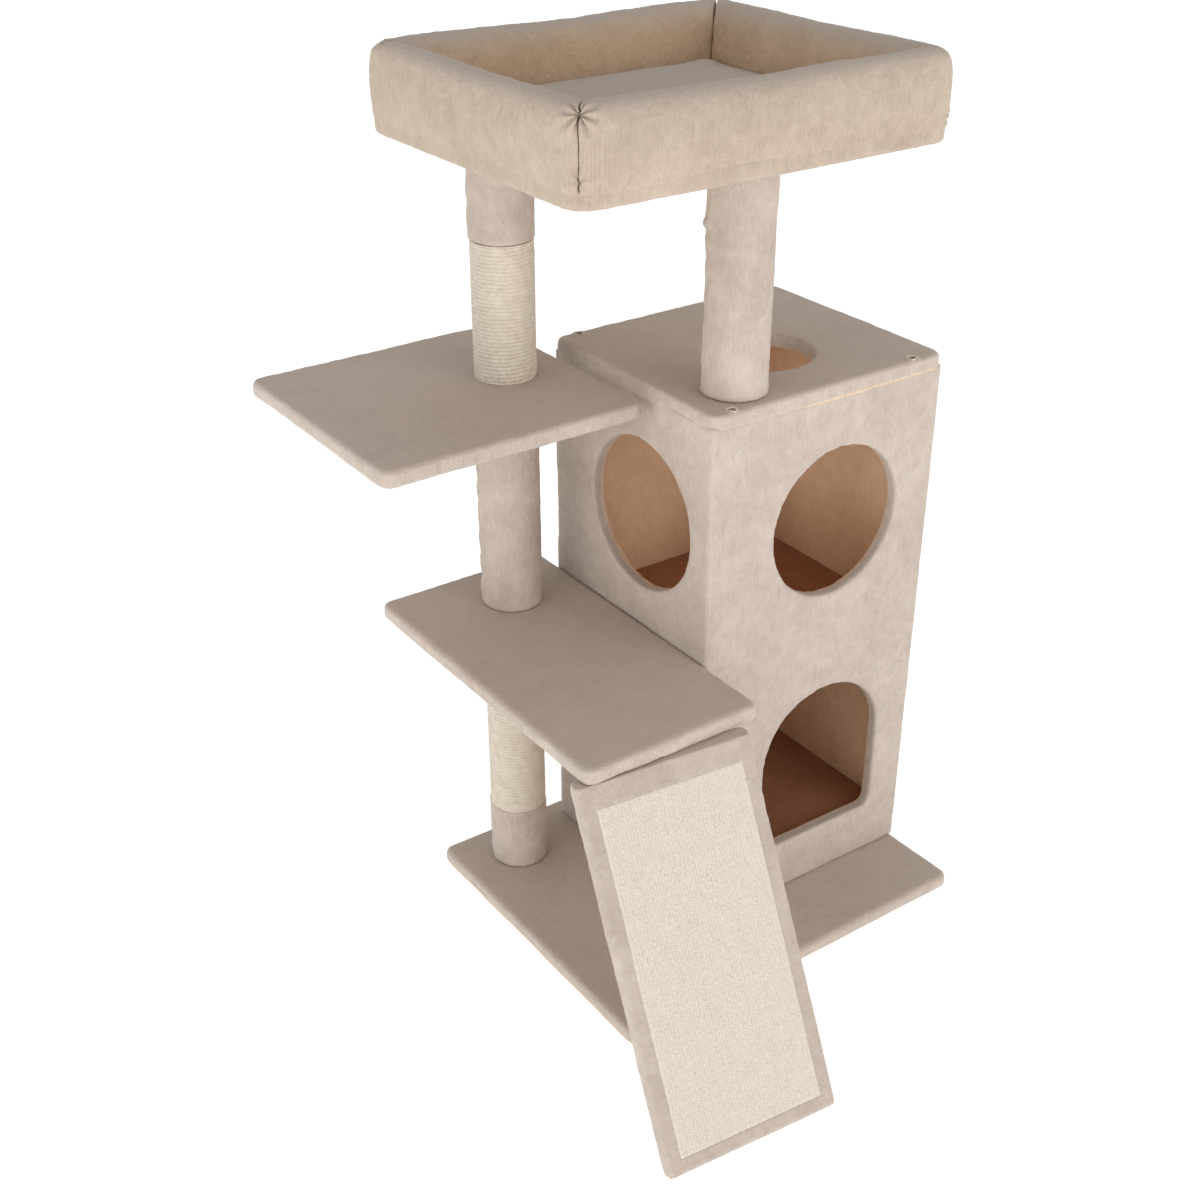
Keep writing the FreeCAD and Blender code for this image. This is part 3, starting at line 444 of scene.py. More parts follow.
def sisal_look(name, deep, pale, along, tone_share=0.4):
    """Twisted plant fibre: pale strands, thin darker lines along the fibre, a few dark specks and painted
    shade in its hollows.
    """
    look = Look(name, roughness=0.85, sheen=0.15)
    strands = look.noise(0.9 * MM, detail=3, stretch=along)
    tone = look.noise(9 * MM, detail=3)
    specks = look.noise(1.1 * MM, detail=1)
    share = look.math("ADD", look.spread(strands, 0.3, 0.7, 0, 0.6),
                      look.spread(tone, 0.3, 0.7, 0, tone_share))
    colour = look.blend(share, deep, pale)
    geometry = look.node("ShaderNodeNewGeometry")
    # painted shade: darker where the surface is hollow, in the grooves between the rope's turns and the mat's
    # threads
    colour = look.blend(look.spread(geometry.outputs["Pointiness"], 0.5, 0.42, 0, 0.6), colour,
                        tuple(0.55 * c for c in deep))
    colour = look.blend(look.spread(specks, 0.72, 0.8, 0, 0.5), colour, (0.22, 0.15, 0.09))
    normal = look.bump(strands, 0.3 * MM, 0.8)
    return look.finish(colour, normal)


def board_look(name):
    """Particle board: pressed chips of two browns with a rough face."""
    look = Look(name, roughness=0.8)
    chips = look.node("ShaderNodeTexVoronoi")
    chips.inputs["Scale"].default_value = 260
    look.join(look.where, chips.inputs["Vector"])
    grain = look.noise(6 * MM, detail=4, stretch=(3, 1, 1))
    tone = look.spread(chips.outputs["Color"], 0.2, 0.8)
    colour = look.blend(look.math("MULTIPLY", tone, look.spread(grain, 0.3, 0.7, 0.5, 1)),
                        (0.36, 0.24, 0.13), (0.62, 0.46, 0.29))
    return look.finish(colour, look.bump(chips.outputs["Distance"], 0.3 * MM, 0.5))


def card_look(name):
    """Grey-brown wound card with faint fibres."""
    look = Look(name, roughness=0.9)
    fibres = look.noise(2 * MM, detail=4, stretch=(4, 4, 1))
    colour = look.blend(look.spread(fibres, 0.3, 0.7), (0.30, 0.21, 0.14), (0.45, 0.34, 0.24))
    return look.finish(colour, look.bump(fibres, 0.15 * MM, 0.5))


def steel_look(name, dull, bright, roughness):
    """Plated steel with cloudy tone and fine scratches."""
    look = Look(name, roughness=roughness, metallic=1.0)
    clouds = look.noise(7 * MM, detail=3)
    scratches = look.noise(0.8 * MM, detail=2, stretch=(14, 1, 1))
    colour = look.blend(look.spread(clouds, 0.35, 0.65), dull, bright)
    look.join(look.spread(scratches, 0.3, 0.7, roughness - 0.08, roughness + 0.12),
              look.shader.inputs["Roughness"])
    return look.finish(colour, look.bump(scratches, 0.05 * MM, 0.4))


def filling_look(name):
    """White wadding, which only shows if a cover is taken off."""
    look = Look(name, roughness=1.0, sheen=0.3)
    fluff = look.noise(4 * MM, detail=4, distortion=1.0)
    colour = look.blend(look.spread(fluff, 0.3, 0.7), (0.72, 0.72, 0.70), (0.88, 0.88, 0.86))
    return look.finish(colour, look.bump(fluff, 2 * MM, 0.6))


PLUSH = plush_look("plush", deep=(0.41, 0.34, 0.285), pale=(0.64, 0.555, 0.485), top_shade=(0.385, 0.30, 0.24),
                   streak=(0.6, 0.6, 5))
BED_PLUSH = plush_look("bed_plush", deep=(0.385, 0.305, 0.235), pale=(0.57, 0.47, 0.38),
                       top_shade=(0.38, 0.33, 0.295), inner=((0.42, 0.295, 0.19), (0.60, 0.43, 0.295)),
                       streak=(0.55, 0.55, 22), streak_depth=0.34, top_shade_share=0.85)
FLOOR_PLUSH = plush_look("room_floor_plush", deep=(0.25, 0.10, 0.045), pale=(0.42, 0.19, 0.095),
                         top_shade=(0.34, 0.145, 0.068))
SISAL = sisal_look("sisal_rope", deep=(0.56, 0.48, 0.385), pale=(0.78, 0.71, 0.61), along=(5, 5, 1))
MAT = sisal_look("sisal_mat", deep=(0.63, 0.56, 0.47), pale=(0.87, 0.81, 0.72), along=(1, 3, 5),
                 tone_share=0.12)
LOOKS = {
    "plush": PLUSH,
    "bed_plush": BED_PLUSH,
    "room_floor_plush": FLOOR_PLUSH,
    "filling": filling_look("filling"),
    "sisal_rope": SISAL,
    "sisal_mat": MAT,
    "particle_board": board_look("particle_board"),
    "cardboard": card_look("cardboard"),
    "zinc_steel": steel_look("zinc_steel", (0.50, 0.50, 0.49), (0.72, 0.72, 0.71), 0.35),
    "bracket_steel": steel_look("bracket_steel", (0.40, 0.40, 0.40), (0.60, 0.60, 0.59), 0.42),
}


# ---------------------------------------------------------------- covered boards

def opening_centre(name):
    """The middle of an opening that the record states."""
    for opening in frame["record"]["physics"]["openings"]:
        if opening["name"] == name:
            low, high = opening["box_m"]
            return [(a + b) / 2 for a, b in zip(low, high)]
    raise KeyError(name)


def covered_board(node, voxel, seed, corner=BOARD_CORNER, hem=True, slot="plush", edge=BOARD_EDGE):
    """Plush drawn over a board. With a hem, the underside shows the bare board inside the turned-in plush."""
    lo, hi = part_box(node)
    piece = soft_block("soft_" + node, lo, hi, corner, edge)
    if hem:
        inner_lo = (lo[0] + HEM_WIDTH, lo[1] + HEM_WIDTH, lo[2] - HEM_DEPTH)
        inner_hi = (hi[0] - HEM_WIDTH, hi[1] - HEM_WIDTH, lo[2] + HEM_DEPTH)
        cut(piece, plain_box("hem_tool", inner_lo, inner_hi))
    remesh(piece, voxel, passes=4)
    ruffle(piece, BOARD_NAP, seed)
    return finish_piece(piece, slot, LOOKS[slot], node)


covered_board("base_cover", 2.8 * MM, seed=1, hem=False)
covered_board("lower_platform_cover", 2.4 * MM, seed=2)
covered_board("upper_platform_cover", 2.4 * MM, seed=3)
covered_board("bed_cover", 2.6 * MM, seed=4, corner=BED_CORNERS, slot="bed_plush",
              edge=(BOARD_EDGE, 1.5 * MM))
covered_board("condo_shelf_cover", 3.2 * MM, seed=5, hem=False, slot="room_floor_plush")
covered_board("condo_floor_cover", 3.2 * MM, seed=6, hem=False, slot="room_floor_plush")


# ---------------------------------------------------------------- condo

def arch_outline(centre_x, half_width, bottom, top, corner=12 * MM, steps=ROUND_STEPS // 2):
    """The door's outline, anticlockwise from its bottom left corner: straight sides under a half circle."""
    spring = top - half_width
    points = []
    for side in (-1, 1):
        for i in range(7):
            turn = math.pi / 2 * i / 6
            if side < 0:
                x = centre_x - half_width + corner * (1 - math.cos(turn))
                z = bottom + corner * (1 - math.sin(turn))
            else:
                x = centre_x + half_width - corner * (1 - math.sin(turn))
                z = bottom + corner * (1 - math.cos(turn))
            points.append((x, z))
    for i in range(steps + 1):
        turn = math.pi * i / steps
        points.append((centre_x + half_width * math.cos(turn), spring + half_width * math.sin(turn)))
    return points


def inside_box(points, lo, hi):
    """How far inside an upright box's nearest side each point is."""
    x, y = points[:, 0], points[:, 1]
    return np.minimum.reduce((x - lo[0], hi[0] - x, y - lo[1], hi[1] - y))


def condo_walls():
    """The four walls as one soft shell with its three openings."""
    lo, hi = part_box("condo_outer_cover")
    piece = soft_block("condo_walls", lo, (hi[0], hi[1], hi[2] + ROOF_LAP), corner=4 * MM, edge=MM)
    t = WALL_THICKNESS
    inside = soft_block("room_tool", (lo[0] + t, lo[1] + t, lo[2] - t), (hi[0] - t, hi[1] - t, hi[2] + t),
                        corner=4 * MM, edge=MM)
    cut(piece, inside)
    front = opening_centre("front_window")
    cut(piece, prism("window_tool", disc_outline((front[0], front[2]), WINDOW_RADIUS), 1,
                     lo[1] - t, lo[1] + 2 * t))
    door = opening_centre("door")
    cut(piece, prism("door_tool", arch_outline(door[0], DOOR_HALF_WIDTH, DOOR_BOTTOM, DOOR_TOP), 1,
                     lo[1] - t, lo[1] + 2 * t))
    side = opening_centre("side_window")
    cut(piece, prism("side_tool", disc_outline((side[1], side[2]), WINDOW_RADIUS), 0,
                     lo[0] - t, lo[0] + 2 * t))
    remesh(piece, 2.9 * MM, passes=3)
    points = points_of(piece)
    paint(piece, "inside", np.clip((inside_box(points, lo, hi) - 0.6 * t) / (0.3 * t), 0, 1))
    ruffle(piece, WALL_NAP, seed=7)
    return finish_piece(piece, "plush", PLUSH, "condo_outer_cover", "upper_room_lining", "lower_room_lining")


def refine_near(piece, spots, reach, cuts=2):
    """Splits the faces near some points on top of a piece, so small marks can be pressed in there."""
    mesh = bmesh.new()
    mesh.from_mesh(piece.data)
    edges = set()
    for edge in mesh.edges:
        middle = (edge.verts[0].co + edge.verts[1].co) / 2
        if any((middle - Vector(s)).length < reach for s in spots):
            edges.add(edge)
    in_order = sorted(edges, key=lambda e: e.index)
    bmesh.ops.subdivide_edges(mesh, edges=in_order, cuts=cuts, use_grid_fill=True)
    bmesh.ops.triangulate(mesh, faces=[f for f in mesh.faces if len(f.verts) > 4])
    mesh.to_mesh(piece.data)
    mesh.free()


def screw_places():
    """The middle of each roof screw's head, found from the corners of the node's box."""
    lo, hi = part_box("condo_roof_screws")
    return [(x, y, hi[2] + PLUSH_THICKNESS)
            for x in (lo[0] + SCREW_HEAD, hi[0] - SCREW_HEAD)
            for y in (lo[1] + SCREW_HEAD, hi[1] - SCREW_HEAD)]


def condo_roof():
    """The covered roof with its round hole and an eye pressed in over each screw."""
    lo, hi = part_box("condo_roof_cover")
    lo = (lo[0], lo[1], lo[2] - ROOF_LAP)
    piece = soft_block("condo_roof", lo, hi, corner=BOARD_CORNER, edge=(MM, 5 * MM))
    hole = opening_centre("roof_hole")
    cut(piece, prism("hole_tool", disc_outline(hole, ROOF_HOLE_RADIUS), 2, lo[2] - 0.01, hi[2] + 0.01))
    remesh(piece, 2.6 * MM, passes=4)
    points = points_of(piece)
    paint(piece, "inside", np.clip((lo[2] + 4 * MM - points[:, 2]) / (2 * MM), 0, 1))
    screws = screw_places()
    refine_near(piece, screws, 13 * MM)
    ruffle(piece, ROOF_NAP, seed=8)
    points = points_of(piece)
    for x, y, z in screws:
        reach = np.hypot(points[:, 0] - x, points[:, 1] - y)
        above = points[:, 2] > z - 6 * MM
        pit = PIT_DEPTH * np.clip((PIT_RADIUS - reach) / (2.4 * MM), 0, 1)
        rim = 1.3 * MM * np.exp(-((reach - 7.0 * MM) / (1.8 * MM)) ** 2)
        dip = 0.9 * MM * np.exp(-(reach / (22 * MM)) ** 2)
        points[:, 2] += np.where(above, rim - pit - dip, 0)
    move_points(piece, points)
    return finish_piece(piece, "plush", PLUSH, "condo_roof_cover")


def screw_eyelets():
    """A small ring of pinched, paler pile round each roof screw."""
    points, faces = [], []
    around, section = 28, 8
    for number, (x, y, z) in enumerate(screw_places()):
        first = len(points)
        for i in range(around):
            turn = 2 * math.pi * i / around
            wobble = 1 + 0.12 * math.sin(3 * turn + number) + 0.08 * math.sin(7 * turn)
            for j in range(section):
                lean = 2 * math.pi * j / section
                reach = EYELET_RADIUS * wobble + EYELET_THICKNESS * math.cos(lean)
                points.append((x + reach * math.cos(turn), y + reach * math.sin(turn),
                               z - 0.5 * MM + 1.0 * MM * math.sin(lean)))
        for i in range(around):
            for j in range(section):
                a = first + i * section + j
                b = first + i * section + (j + 1) % section
                c = first + ((i + 1) % around) * section + (j + 1) % section
                d = first + ((i + 1) % around) * section + j
                faces.append([a, d, c, b])
    piece = new_piece("screw_eyelets", points, faces)
    return finish_piece(piece, "sisal_rope", SISAL)


condo_walls()
condo_roof()
screw_eyelets()


# ---------------------------------------------------------------- posts

def sleeve(name, centre, low, high, radius_at, columns, rows):
    """A closed sleeve round a tube. radius_at(angle, height) gives the outer radius as an array."""
    angles = np.arange(columns) * 2 * math.pi / columns
    heights = np.linspace(low, high, rows)
    grid_angle, grid_height = np.meshgrid(angles, heights)
    outer = radius_at(grid_angle, grid_height)
    inner = np.full((1, columns), TUBE_RADIUS + 0.2 * MM)
    radii = np.vstack((inner, outer, inner))
    tall = np.vstack((grid_height[:1], grid_height, grid_height[-1:]))
    turn = np.vstack((grid_angle[:1], grid_angle, grid_angle[-1:]))
    points = np.stack((centre[0] + radii * np.cos(turn), centre[1] + radii * np.sin(turn), tall), -1)
    ring_count = len(radii)
    faces = []
    for r in range(ring_count):
        next_ring = (r + 1) % ring_count
        for c in range(columns):
            d = (c + 1) % columns
            faces.append([r * columns + c, r * columns + d,
                          next_ring * columns + d, next_ring * columns + c])
    return new_piece(name, points.reshape(-1, 3), faces)


def plush_post(node, seam_angle, seed, lump_height=None):
    """Plush glued round a tube, with the joint where its edges meet. lump_height: where a tuft stands out
    beside the joint, as a share of the post's height."""
    lo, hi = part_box(node)
    centre = ((lo[0] + hi[0]) / 2, (lo[1] + hi[1]) / 2)
    full = (hi[0] - lo[0]) / 2
    edge = 3 * MM

    def radius_at(angle, height):
        near_end = np.minimum(height - lo[2], hi[2] - height)
        turn_in = edge - np.sqrt(np.clip(edge ** 2 - np.clip(edge - near_end, 0, edge) ** 2, 0, None))
        wander = 0.018 * np.sin(height / (31 * MM))
        off_seam = np.abs((angle - seam_angle + wander + math.pi) % (2 * math.pi) - math.pi) * full
        groove = 1.6 * MM * np.exp(-(off_seam / (1.5 * MM)) ** 2)
        puckers = 1 + 0.8 * np.sin(height / (5 * MM))
        lips = 0.8 * MM * np.exp(-((off_seam - 5 * MM) / (3 * MM)) ** 2) * puckers
        radius = full - turn_in - groove + lips
        if lump_height is not None:
            from_lump = height - lo[2] - lump_height * (hi[2] - lo[2])
            radius += 5 * MM * np.exp(-(from_lump / (6 * MM)) ** 2 - (off_seam / (8 * MM)) ** 2)
        return radius

    rows = int((hi[2] - lo[2]) / (1.8 * MM))
    piece = sleeve("soft_" + node, centre, lo[2], hi[2], radius_at, columns=124, rows=rows)
    ruffle(piece, POST_NAP, seed)
    return finish_piece(piece, "plush", PLUSH, node)


def sisal_post(node, seed, fray_height=0.0):
    """Rope wound closely round a tube: one ridge a turn, each with its twist, a little uneven."""
    lo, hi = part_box(node)
    centre = ((lo[0] + hi[0]) / 2, (lo[1] + hi[1]) / 2)
    full = (hi[0] - lo[0]) / 2

    def radius_at(angle, height):
        flat = np.stack((angle * full, height, np.zeros_like(angle)), -1).reshape(-1, 3)
        round_place = np.stack((full * np.cos(angle), full * np.sin(angle), height), -1).reshape(-1, 3)
        uneven = 0.10 * lumps(round_place, 28 * MM, seed).reshape(angle.shape)
        turns = (height - lo[2]) / ROPE_PITCH - angle / (2 * math.pi) + uneven
        across = (turns - np.floor(turns)) * 2 - 1
        ridge = np.sqrt(np.clip(1 - across ** 2, 0, 1))
        along = angle * full / (3.4 * MM) + np.floor(turns) * 1.7
        twist = 0.5 + 0.5 * np.sin(2 * math.pi * (along + 0.55 * across))
        fibre = lumps(flat * np.array([1, 3, 1]), 1.6 * MM, seed + 1).reshape(angle.shape)
        thick = 0.25 * lumps(round_place, 12 * MM, seed + 2).reshape(angle.shape)
        fray = np.exp(-((height - lo[2] - 8 * MM) / (9 * MM)) ** 2) * fray_height
        rough = lumps(round_place, 3 * MM, seed + 3).reshape(angle.shape)
        return (full - ROPE_RELIEF + ROPE_RELIEF * (ridge * (1 + thick)) + 0.28 * MM * twist * ridge
                + 0.22 * MM * fibre + fray * rough)

    rows = int((hi[2] - lo[2]) / (0.62 * MM))
    low, high = lo[2] + 0.3 * MM, hi[2] - 0.3 * MM
    piece = sleeve("wound_" + node, centre, low, high, radius_at, columns=150, rows=rows)
    return finish_piece(piece, "sisal_rope", SISAL, node)


plush_post("lower_post_foot_cover", seam_angle=2.2, seed=10)
plush_post("middle_post_cover", seam_angle=2.6, seed=11)
plush_post("upper_post_cover", seam_angle=2.6, seed=12)
plush_post("condo_post_cover", seam_angle=2.80, seed=13, lump_height=0.72)
sisal_post("lower_post_sisal", seed=20)
sisal_post("upper_post_sisal", seed=21, fray_height=0.8 * MM)


# ---------------------------------------------------------------- ramp

ramp_lo, ramp_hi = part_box("ramp_cover")
ramp_foot = Vector((ramp_lo[0], ramp_lo[1] + RAMP_WIDTH * math.sin(RAMP_TURN),
                    RAMP_THICKNESS * math.cos(RAMP_LEAN)))
ramp_length = (ramp_hi[2] - ramp_foot[2]) / math.sin(RAMP_LEAN)
ramp_place = (Matrix.Translation(ramp_foot) @ Matrix.Rotation(-RAMP_TURN, 4, "Z")
              @ Matrix.Rotation(RAMP_LEAN, 4, "X"))
mat_lo = (RAMP_BORDER, RAMP_BORDER)
mat_hi = (RAMP_WIDTH - RAMP_BORDER, ramp_length - RAMP_TOP_BORDER)


def ramp_cover():
    """Plush over the ramp's board, with a window where the mat lies."""
    piece = soft_block("soft_ramp_cover", (0, 0, -RAMP_THICKNESS), (RAMP_WIDTH, ramp_length + RAMP_TUCK, 0),
                       corner=7 * MM, edge=5 * MM)
    cut(piece, plain_box("mat_tool", (*mat_lo, -3.5 * MM), (*mat_hi, 9 * MM)))
    remesh(piece, 2.1 * MM, passes=3)
    ruffle(piece, RAMP_NAP, seed=30)
    piece.data.transform(ramp_place)
    points = points_of(piece)
    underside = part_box("lower_platform_cover")[0][2]
    points[:, 2] = np.clip(points[:, 2], 0, underside - 0.4 * MM)
    move_points(piece, points)
    return finish_piece(piece, "plush", PLUSH, "ramp_cover")


def ramp_mat():
    """The sisal mat: rows of fat threads that pass over and under finer ones across the ramp."""
    step = 0.85 * MM
    lap = 1.2 * MM
    low = np.array(mat_lo) - lap
    high = np.array(mat_hi) + lap
    columns = int((high[0] - low[0]) / step)
    rows = int((high[1] - low[1]) / step)
    across, up = np.meshgrid(np.linspace(low[0], high[0], columns), np.linspace(low[1], high[1], rows))
    flat = np.stack((across, up, np.zeros_like(up)), -1).reshape(-1, 3)
    drift = 0.12 * lumps(flat, 30 * MM, 31).reshape(up.shape)
    thread = across / MAT_THREAD + drift
    pick = up / MAT_PICK + 0.5 * (np.floor(thread) % 2) + drift
    over = np.abs(np.sin(math.pi * pick)) ** 0.7
    ridge = np.abs(np.sin(math.pi * thread)) ** 0.6
    uneven = 0.3 * lumps(flat, 5 * MM, 32).reshape(up.shape)
    fibre = 0.12 * MM * lumps(flat * np.array([2.5, 1, 1]), 1.7 * MM, 33).reshape(up.shape)
    edge = np.minimum.reduce((across - low[0], high[0] - across, up - low[1], high[1] - up))
    lift = 0.5 * MM - 2.4 * MM * np.clip(1 - edge / (2.5 * MM), 0, 1) ** 2
    height = lift + 0.95 * MM * ridge * over * (1 + uneven) - 0.6 * MM + fibre
    top = np.stack((across, up, height), -1).reshape(-1, 3)
    under = top.copy()
    under[:, 2] = -3.3 * MM
    count = len(top)
    faces = []
    for r in range(rows - 1):
        for c in range(columns - 1):
            a = r * columns + c
            faces.append([a, a + 1, a + columns + 1, a + columns])
    border = list(range(columns))
    border += [r * columns + columns - 1 for r in range(1, rows)]
    border += [(rows - 1) * columns + c for c in range(columns - 2, -1, -1)]
    border += [r * columns for r in range(rows - 2, 0, -1)]
    base = [count + i for i in range(len(border))]
    for i, a in enumerate(border):
        j = (i + 1) % len(border)
        faces.append([a, base[i], base[j], border[j]])
    faces.append(base[::-1])
    points = np.vstack((top, under[border]))
    piece = new_piece("woven_ramp_mat", points, faces)
    piece.data.transform(ramp_place)
    return finish_piece(piece, "sisal_mat", MAT, "ramp_sisal_mat")


ramp_cover()
ramp_mat()


# ---------------------------------------------------------------- bed

def puff(piece, cap, pinned, frames=20, pressure=4.0):
    """Blows the piece up as cloth. cap: how far each point may move. pinned: which points stay put."""
    start = points_of(piece)
    held = piece.vertex_groups.new(name="held")
    held.add([int(i) for i in np.nonzero(pinned)[0]], 1.0, "REPLACE")
    cloth = piece.modifiers.new("cloth", "CLOTH")
    cloth.settings.use_pressure = True
    cloth.settings.uniform_pressure_force = pressure
    cloth.settings.effector_weights.gravity = 0
    cloth.settings.vertex_group_mass = "held"
    cloth.settings.quality = 5
    cloth.point_cache.frame_start = 1
    cloth.point_cache.frame_end = frames
    for number in range(1, frames + 1):
        scene.frame_set(number)
    shown = piece.evaluated_get(bpy.context.evaluated_depsgraph_get())
    end = np.empty(len(start) * 3)
    shown.data.vertices.foreach_get("co", end)
    move = end.reshape(-1, 3) - start
    far = np.linalg.norm(move, axis=1)
    share = np.minimum(1, cap / np.maximum(far, 1e-9))
    piece.modifiers.clear()
    piece.vertex_groups.clear()
    scene.frame_set(1)
    move_points(piece, start + move * share[:, None])


def subdivide(piece):
    """One level of subdivision."""
    step = piece.modifiers.new("subdivide", "SUBSURF")
    step.levels = 1
    step.render_levels = 1
    apply_modifiers(piece)


cushion_lo, cushion_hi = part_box("bed_cushion_cover")
roll_lo, roll_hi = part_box("bed_front_roll_cover")
INNER = {
    "x": (cushion_lo[0] - MM, cushion_hi[0] + MM),
    "y": (cushion_lo[1] - MM, cushion_hi[1] + MM),
}
ROLL_BASE = roll_lo[2]
ROLL_HEIGHT = roll_hi[2] - roll_lo[2] - 1.7 * MM


def roll_section():
    """The outline across a roll, as (distance out from its inner face, height) from the inner foot round.
    The foot is behind the board's plush, the outer face stands nearly upright, the crest is round and the
    inner face leans outwards."""
    width, tall = ROLL_WIDTH, ROLL_HEIGHT
    corners = (
        (0, -ROLL_FOOT),
        (width + 0.2 * MM, -ROLL_FOOT),
        (width + 0.8 * MM, 0),
        (width + 0.75 * ROLL_BULGE, 0.22 * tall),
        (width + ROLL_BULGE, 0.45 * tall),
        (width + 0.9 * ROLL_BULGE, 0.70 * tall),
        (width - 0.5 * MM, 0.95 * tall),
        (0.76 * width, 1.04 * tall),
        (0.50 * width, 1.02 * tall),
        (0.26 * width, 0.86 * tall),
        (0.10 * width, 0.5 * tall),
        (0, 0.1 * tall),
    )
    outline = np.array(corners)
    for _ in range(3):
        ahead = np.roll(outline, -1, axis=0)
        outline = np.stack((0.75 * outline + 0.25 * ahead, 0.25 * outline + 0.75 * ahead), 1).reshape(-1, 2)
    closed = np.vstack((outline, outline[:1]))
    run = np.concatenate(([0], np.cumsum(np.hypot(*np.diff(closed, axis=0).T))))
    spots = np.linspace(0, run[-1], ROLL_POINTS, endpoint=False)
    section = np.stack([np.interp(spots, run, closed[:, k]) for k in (0, 1)], -1)
    section[:, 1] *= np.where(section[:, 1] > 0, (tall - 0.7 * ROLL_SWELL) / section[:, 1].max(), 1)
    return section


def round_off(from_end, radius):
    """How far a round corner of this radius lies inside the sharp one, at a distance from its middle."""
    side = np.clip(radius * math.sqrt(0.5) - from_end, 0, None)
    return radius - np.sqrt(radius ** 2 - side ** 2)


def roll_stations():
    """Places along a roll from 0 to 1: close together beside the seams, then even."""
    near = [0.0, 0.0025, 0.006, 0.012, 0.02]
    middle = [0.032 + (1 - 0.064) * i / 80 for i in range(81)]
    return near + middle + [1 - s for s in reversed(near)]


def roll_start(name, side):
    """One side of the rim before it is stuffed, cut at 45 degrees at both ends."""
    x_low, x_high = INNER["x"]
    y_low, y_high = INNER["y"]
    back_right, back_left, front_left, front_right = BED_CORNERS
    starts = {
        "front": ((x_low, y_low), (1, 0), (0, -1), x_high - x_low, front_left, front_right),
        "right": ((x_high, y_low), (0, 1), (1, 0), y_high - y_low, front_right, back_right),
        "back": ((x_high, y_high), (-1, 0), (0, 1), x_high - x_low, back_right, back_left),
        "left": ((x_low, y_high), (0, -1), (-1, 0), y_high - y_low, back_left, front_left),
    }
    corner, along, out, length, first_round, last_round = starts[side]
    section = roll_section()
    middle = section.mean(axis=0)
    to_middle = middle - section
    to_middle /= np.linalg.norm(to_middle, axis=1)[:, None]
    outer = np.clip(section[:, 0] / ROLL_WIDTH, 0, 1)
    depth = SEAM_INNER_DEPTH + (SEAM_DEPTH - SEAM_INNER_DEPTH) * outer
    depth = np.where(section[:, 1] < 4 * MM, 0.2 * depth, depth)
    rings = []
    for s in roll_stations():
        radius = first_round if s < 0.5 else last_round
        reach = min(s, 1 - s) * (length + 2 * ROLL_WIDTH)
        groove = depth * math.exp(-(reach / (3.2 * MM)) ** 2)
        u = section[:, 0] + to_middle[:, 0] * groove
        h = section[:, 1] + to_middle[:, 1] * groove
        drawn = outer * round_off(0, radius)
        end = u - drawn
        from_end = min(s, 1 - s) * (length + 2 * end)
        off = u - outer * round_off(from_end, radius)
        place = -end + s * (length + 2 * end)
        rings.append([(corner[0] + along[0] * p + out[0] * o,
                       corner[1] + along[1] * p + out[1] * o,
                       ROLL_BASE + z) for p, o, z in zip(place, off, h)])
    piece = loft(name, rings)
    face_outwards(piece)
    return piece


def past_wall(points, side):
    """How far each point is outside the inner face of one side of the rim."""
    (x_low, x_high), (y_low, y_high) = INNER["x"], INNER["y"]
    x, y = points[:, 0], points[:, 1]
    return {"front": y_low - y, "back": y - y_high, "left": x_low - x, "right": x - x_high}[side]


def past_seam(points, side):
    """How far each point is from the mitre plane at each end of one side: positive on the side's own part."""
    (x_low, x_high), (y_low, y_high) = INNER["x"], INNER["y"]
    x, y = points[:, 0], points[:, 1]
    out = past_wall(points, side)
    if side in ("front", "back"):
        ends = (x - x_low, x_high - x)
    else:
        ends = (y - y_low, y_high - y)
    return tuple((end + out) / math.sqrt(2) for end in ends)


def sew(piece, side, gap=0.12 * MM):
    """Presses what has passed a mitre plane flat against it, so two rolls meet face to face at their seam."""
    points = points_of(piece)
    along = 0 if side in ("front", "back") else 1
    sign = -1 if side in ("front", "left") else 1
    first, second = past_seam(points, side)
    for distance, way in ((first, 1), (second, -1)):
        push = np.clip(gap - distance, 0, None) / math.sqrt(2)
        points[:, along] += way * push
        points[:, 1 - along] += sign * push
    move_points(piece, points)


def gather(piece, spot, reach, folds=9, height=2.4 * MM, dip=3.2 * MM):
    """Pleats that run to one gathered point: the cloth is drawn in there and folds round it."""
    points = points_of(piece)
    offset = points - np.array(spot)
    far = np.linalg.norm(offset, axis=1)
    angle = np.arctan2(offset[:, 0] - offset[:, 1], offset[:, 2] * math.sqrt(2))
    near_fold = np.exp(-((far - 0.35 * reach) / (0.38 * reach)) ** 2)
    pleat = np.sin(folds * angle + 1.2 * np.sin(angle)) * near_fold
    drawn = dip * np.exp(-(far / (0.35 * reach)) ** 2)
    move_points(piece, points + normals_of(piece) * (height * pleat - drawn)[:, None])


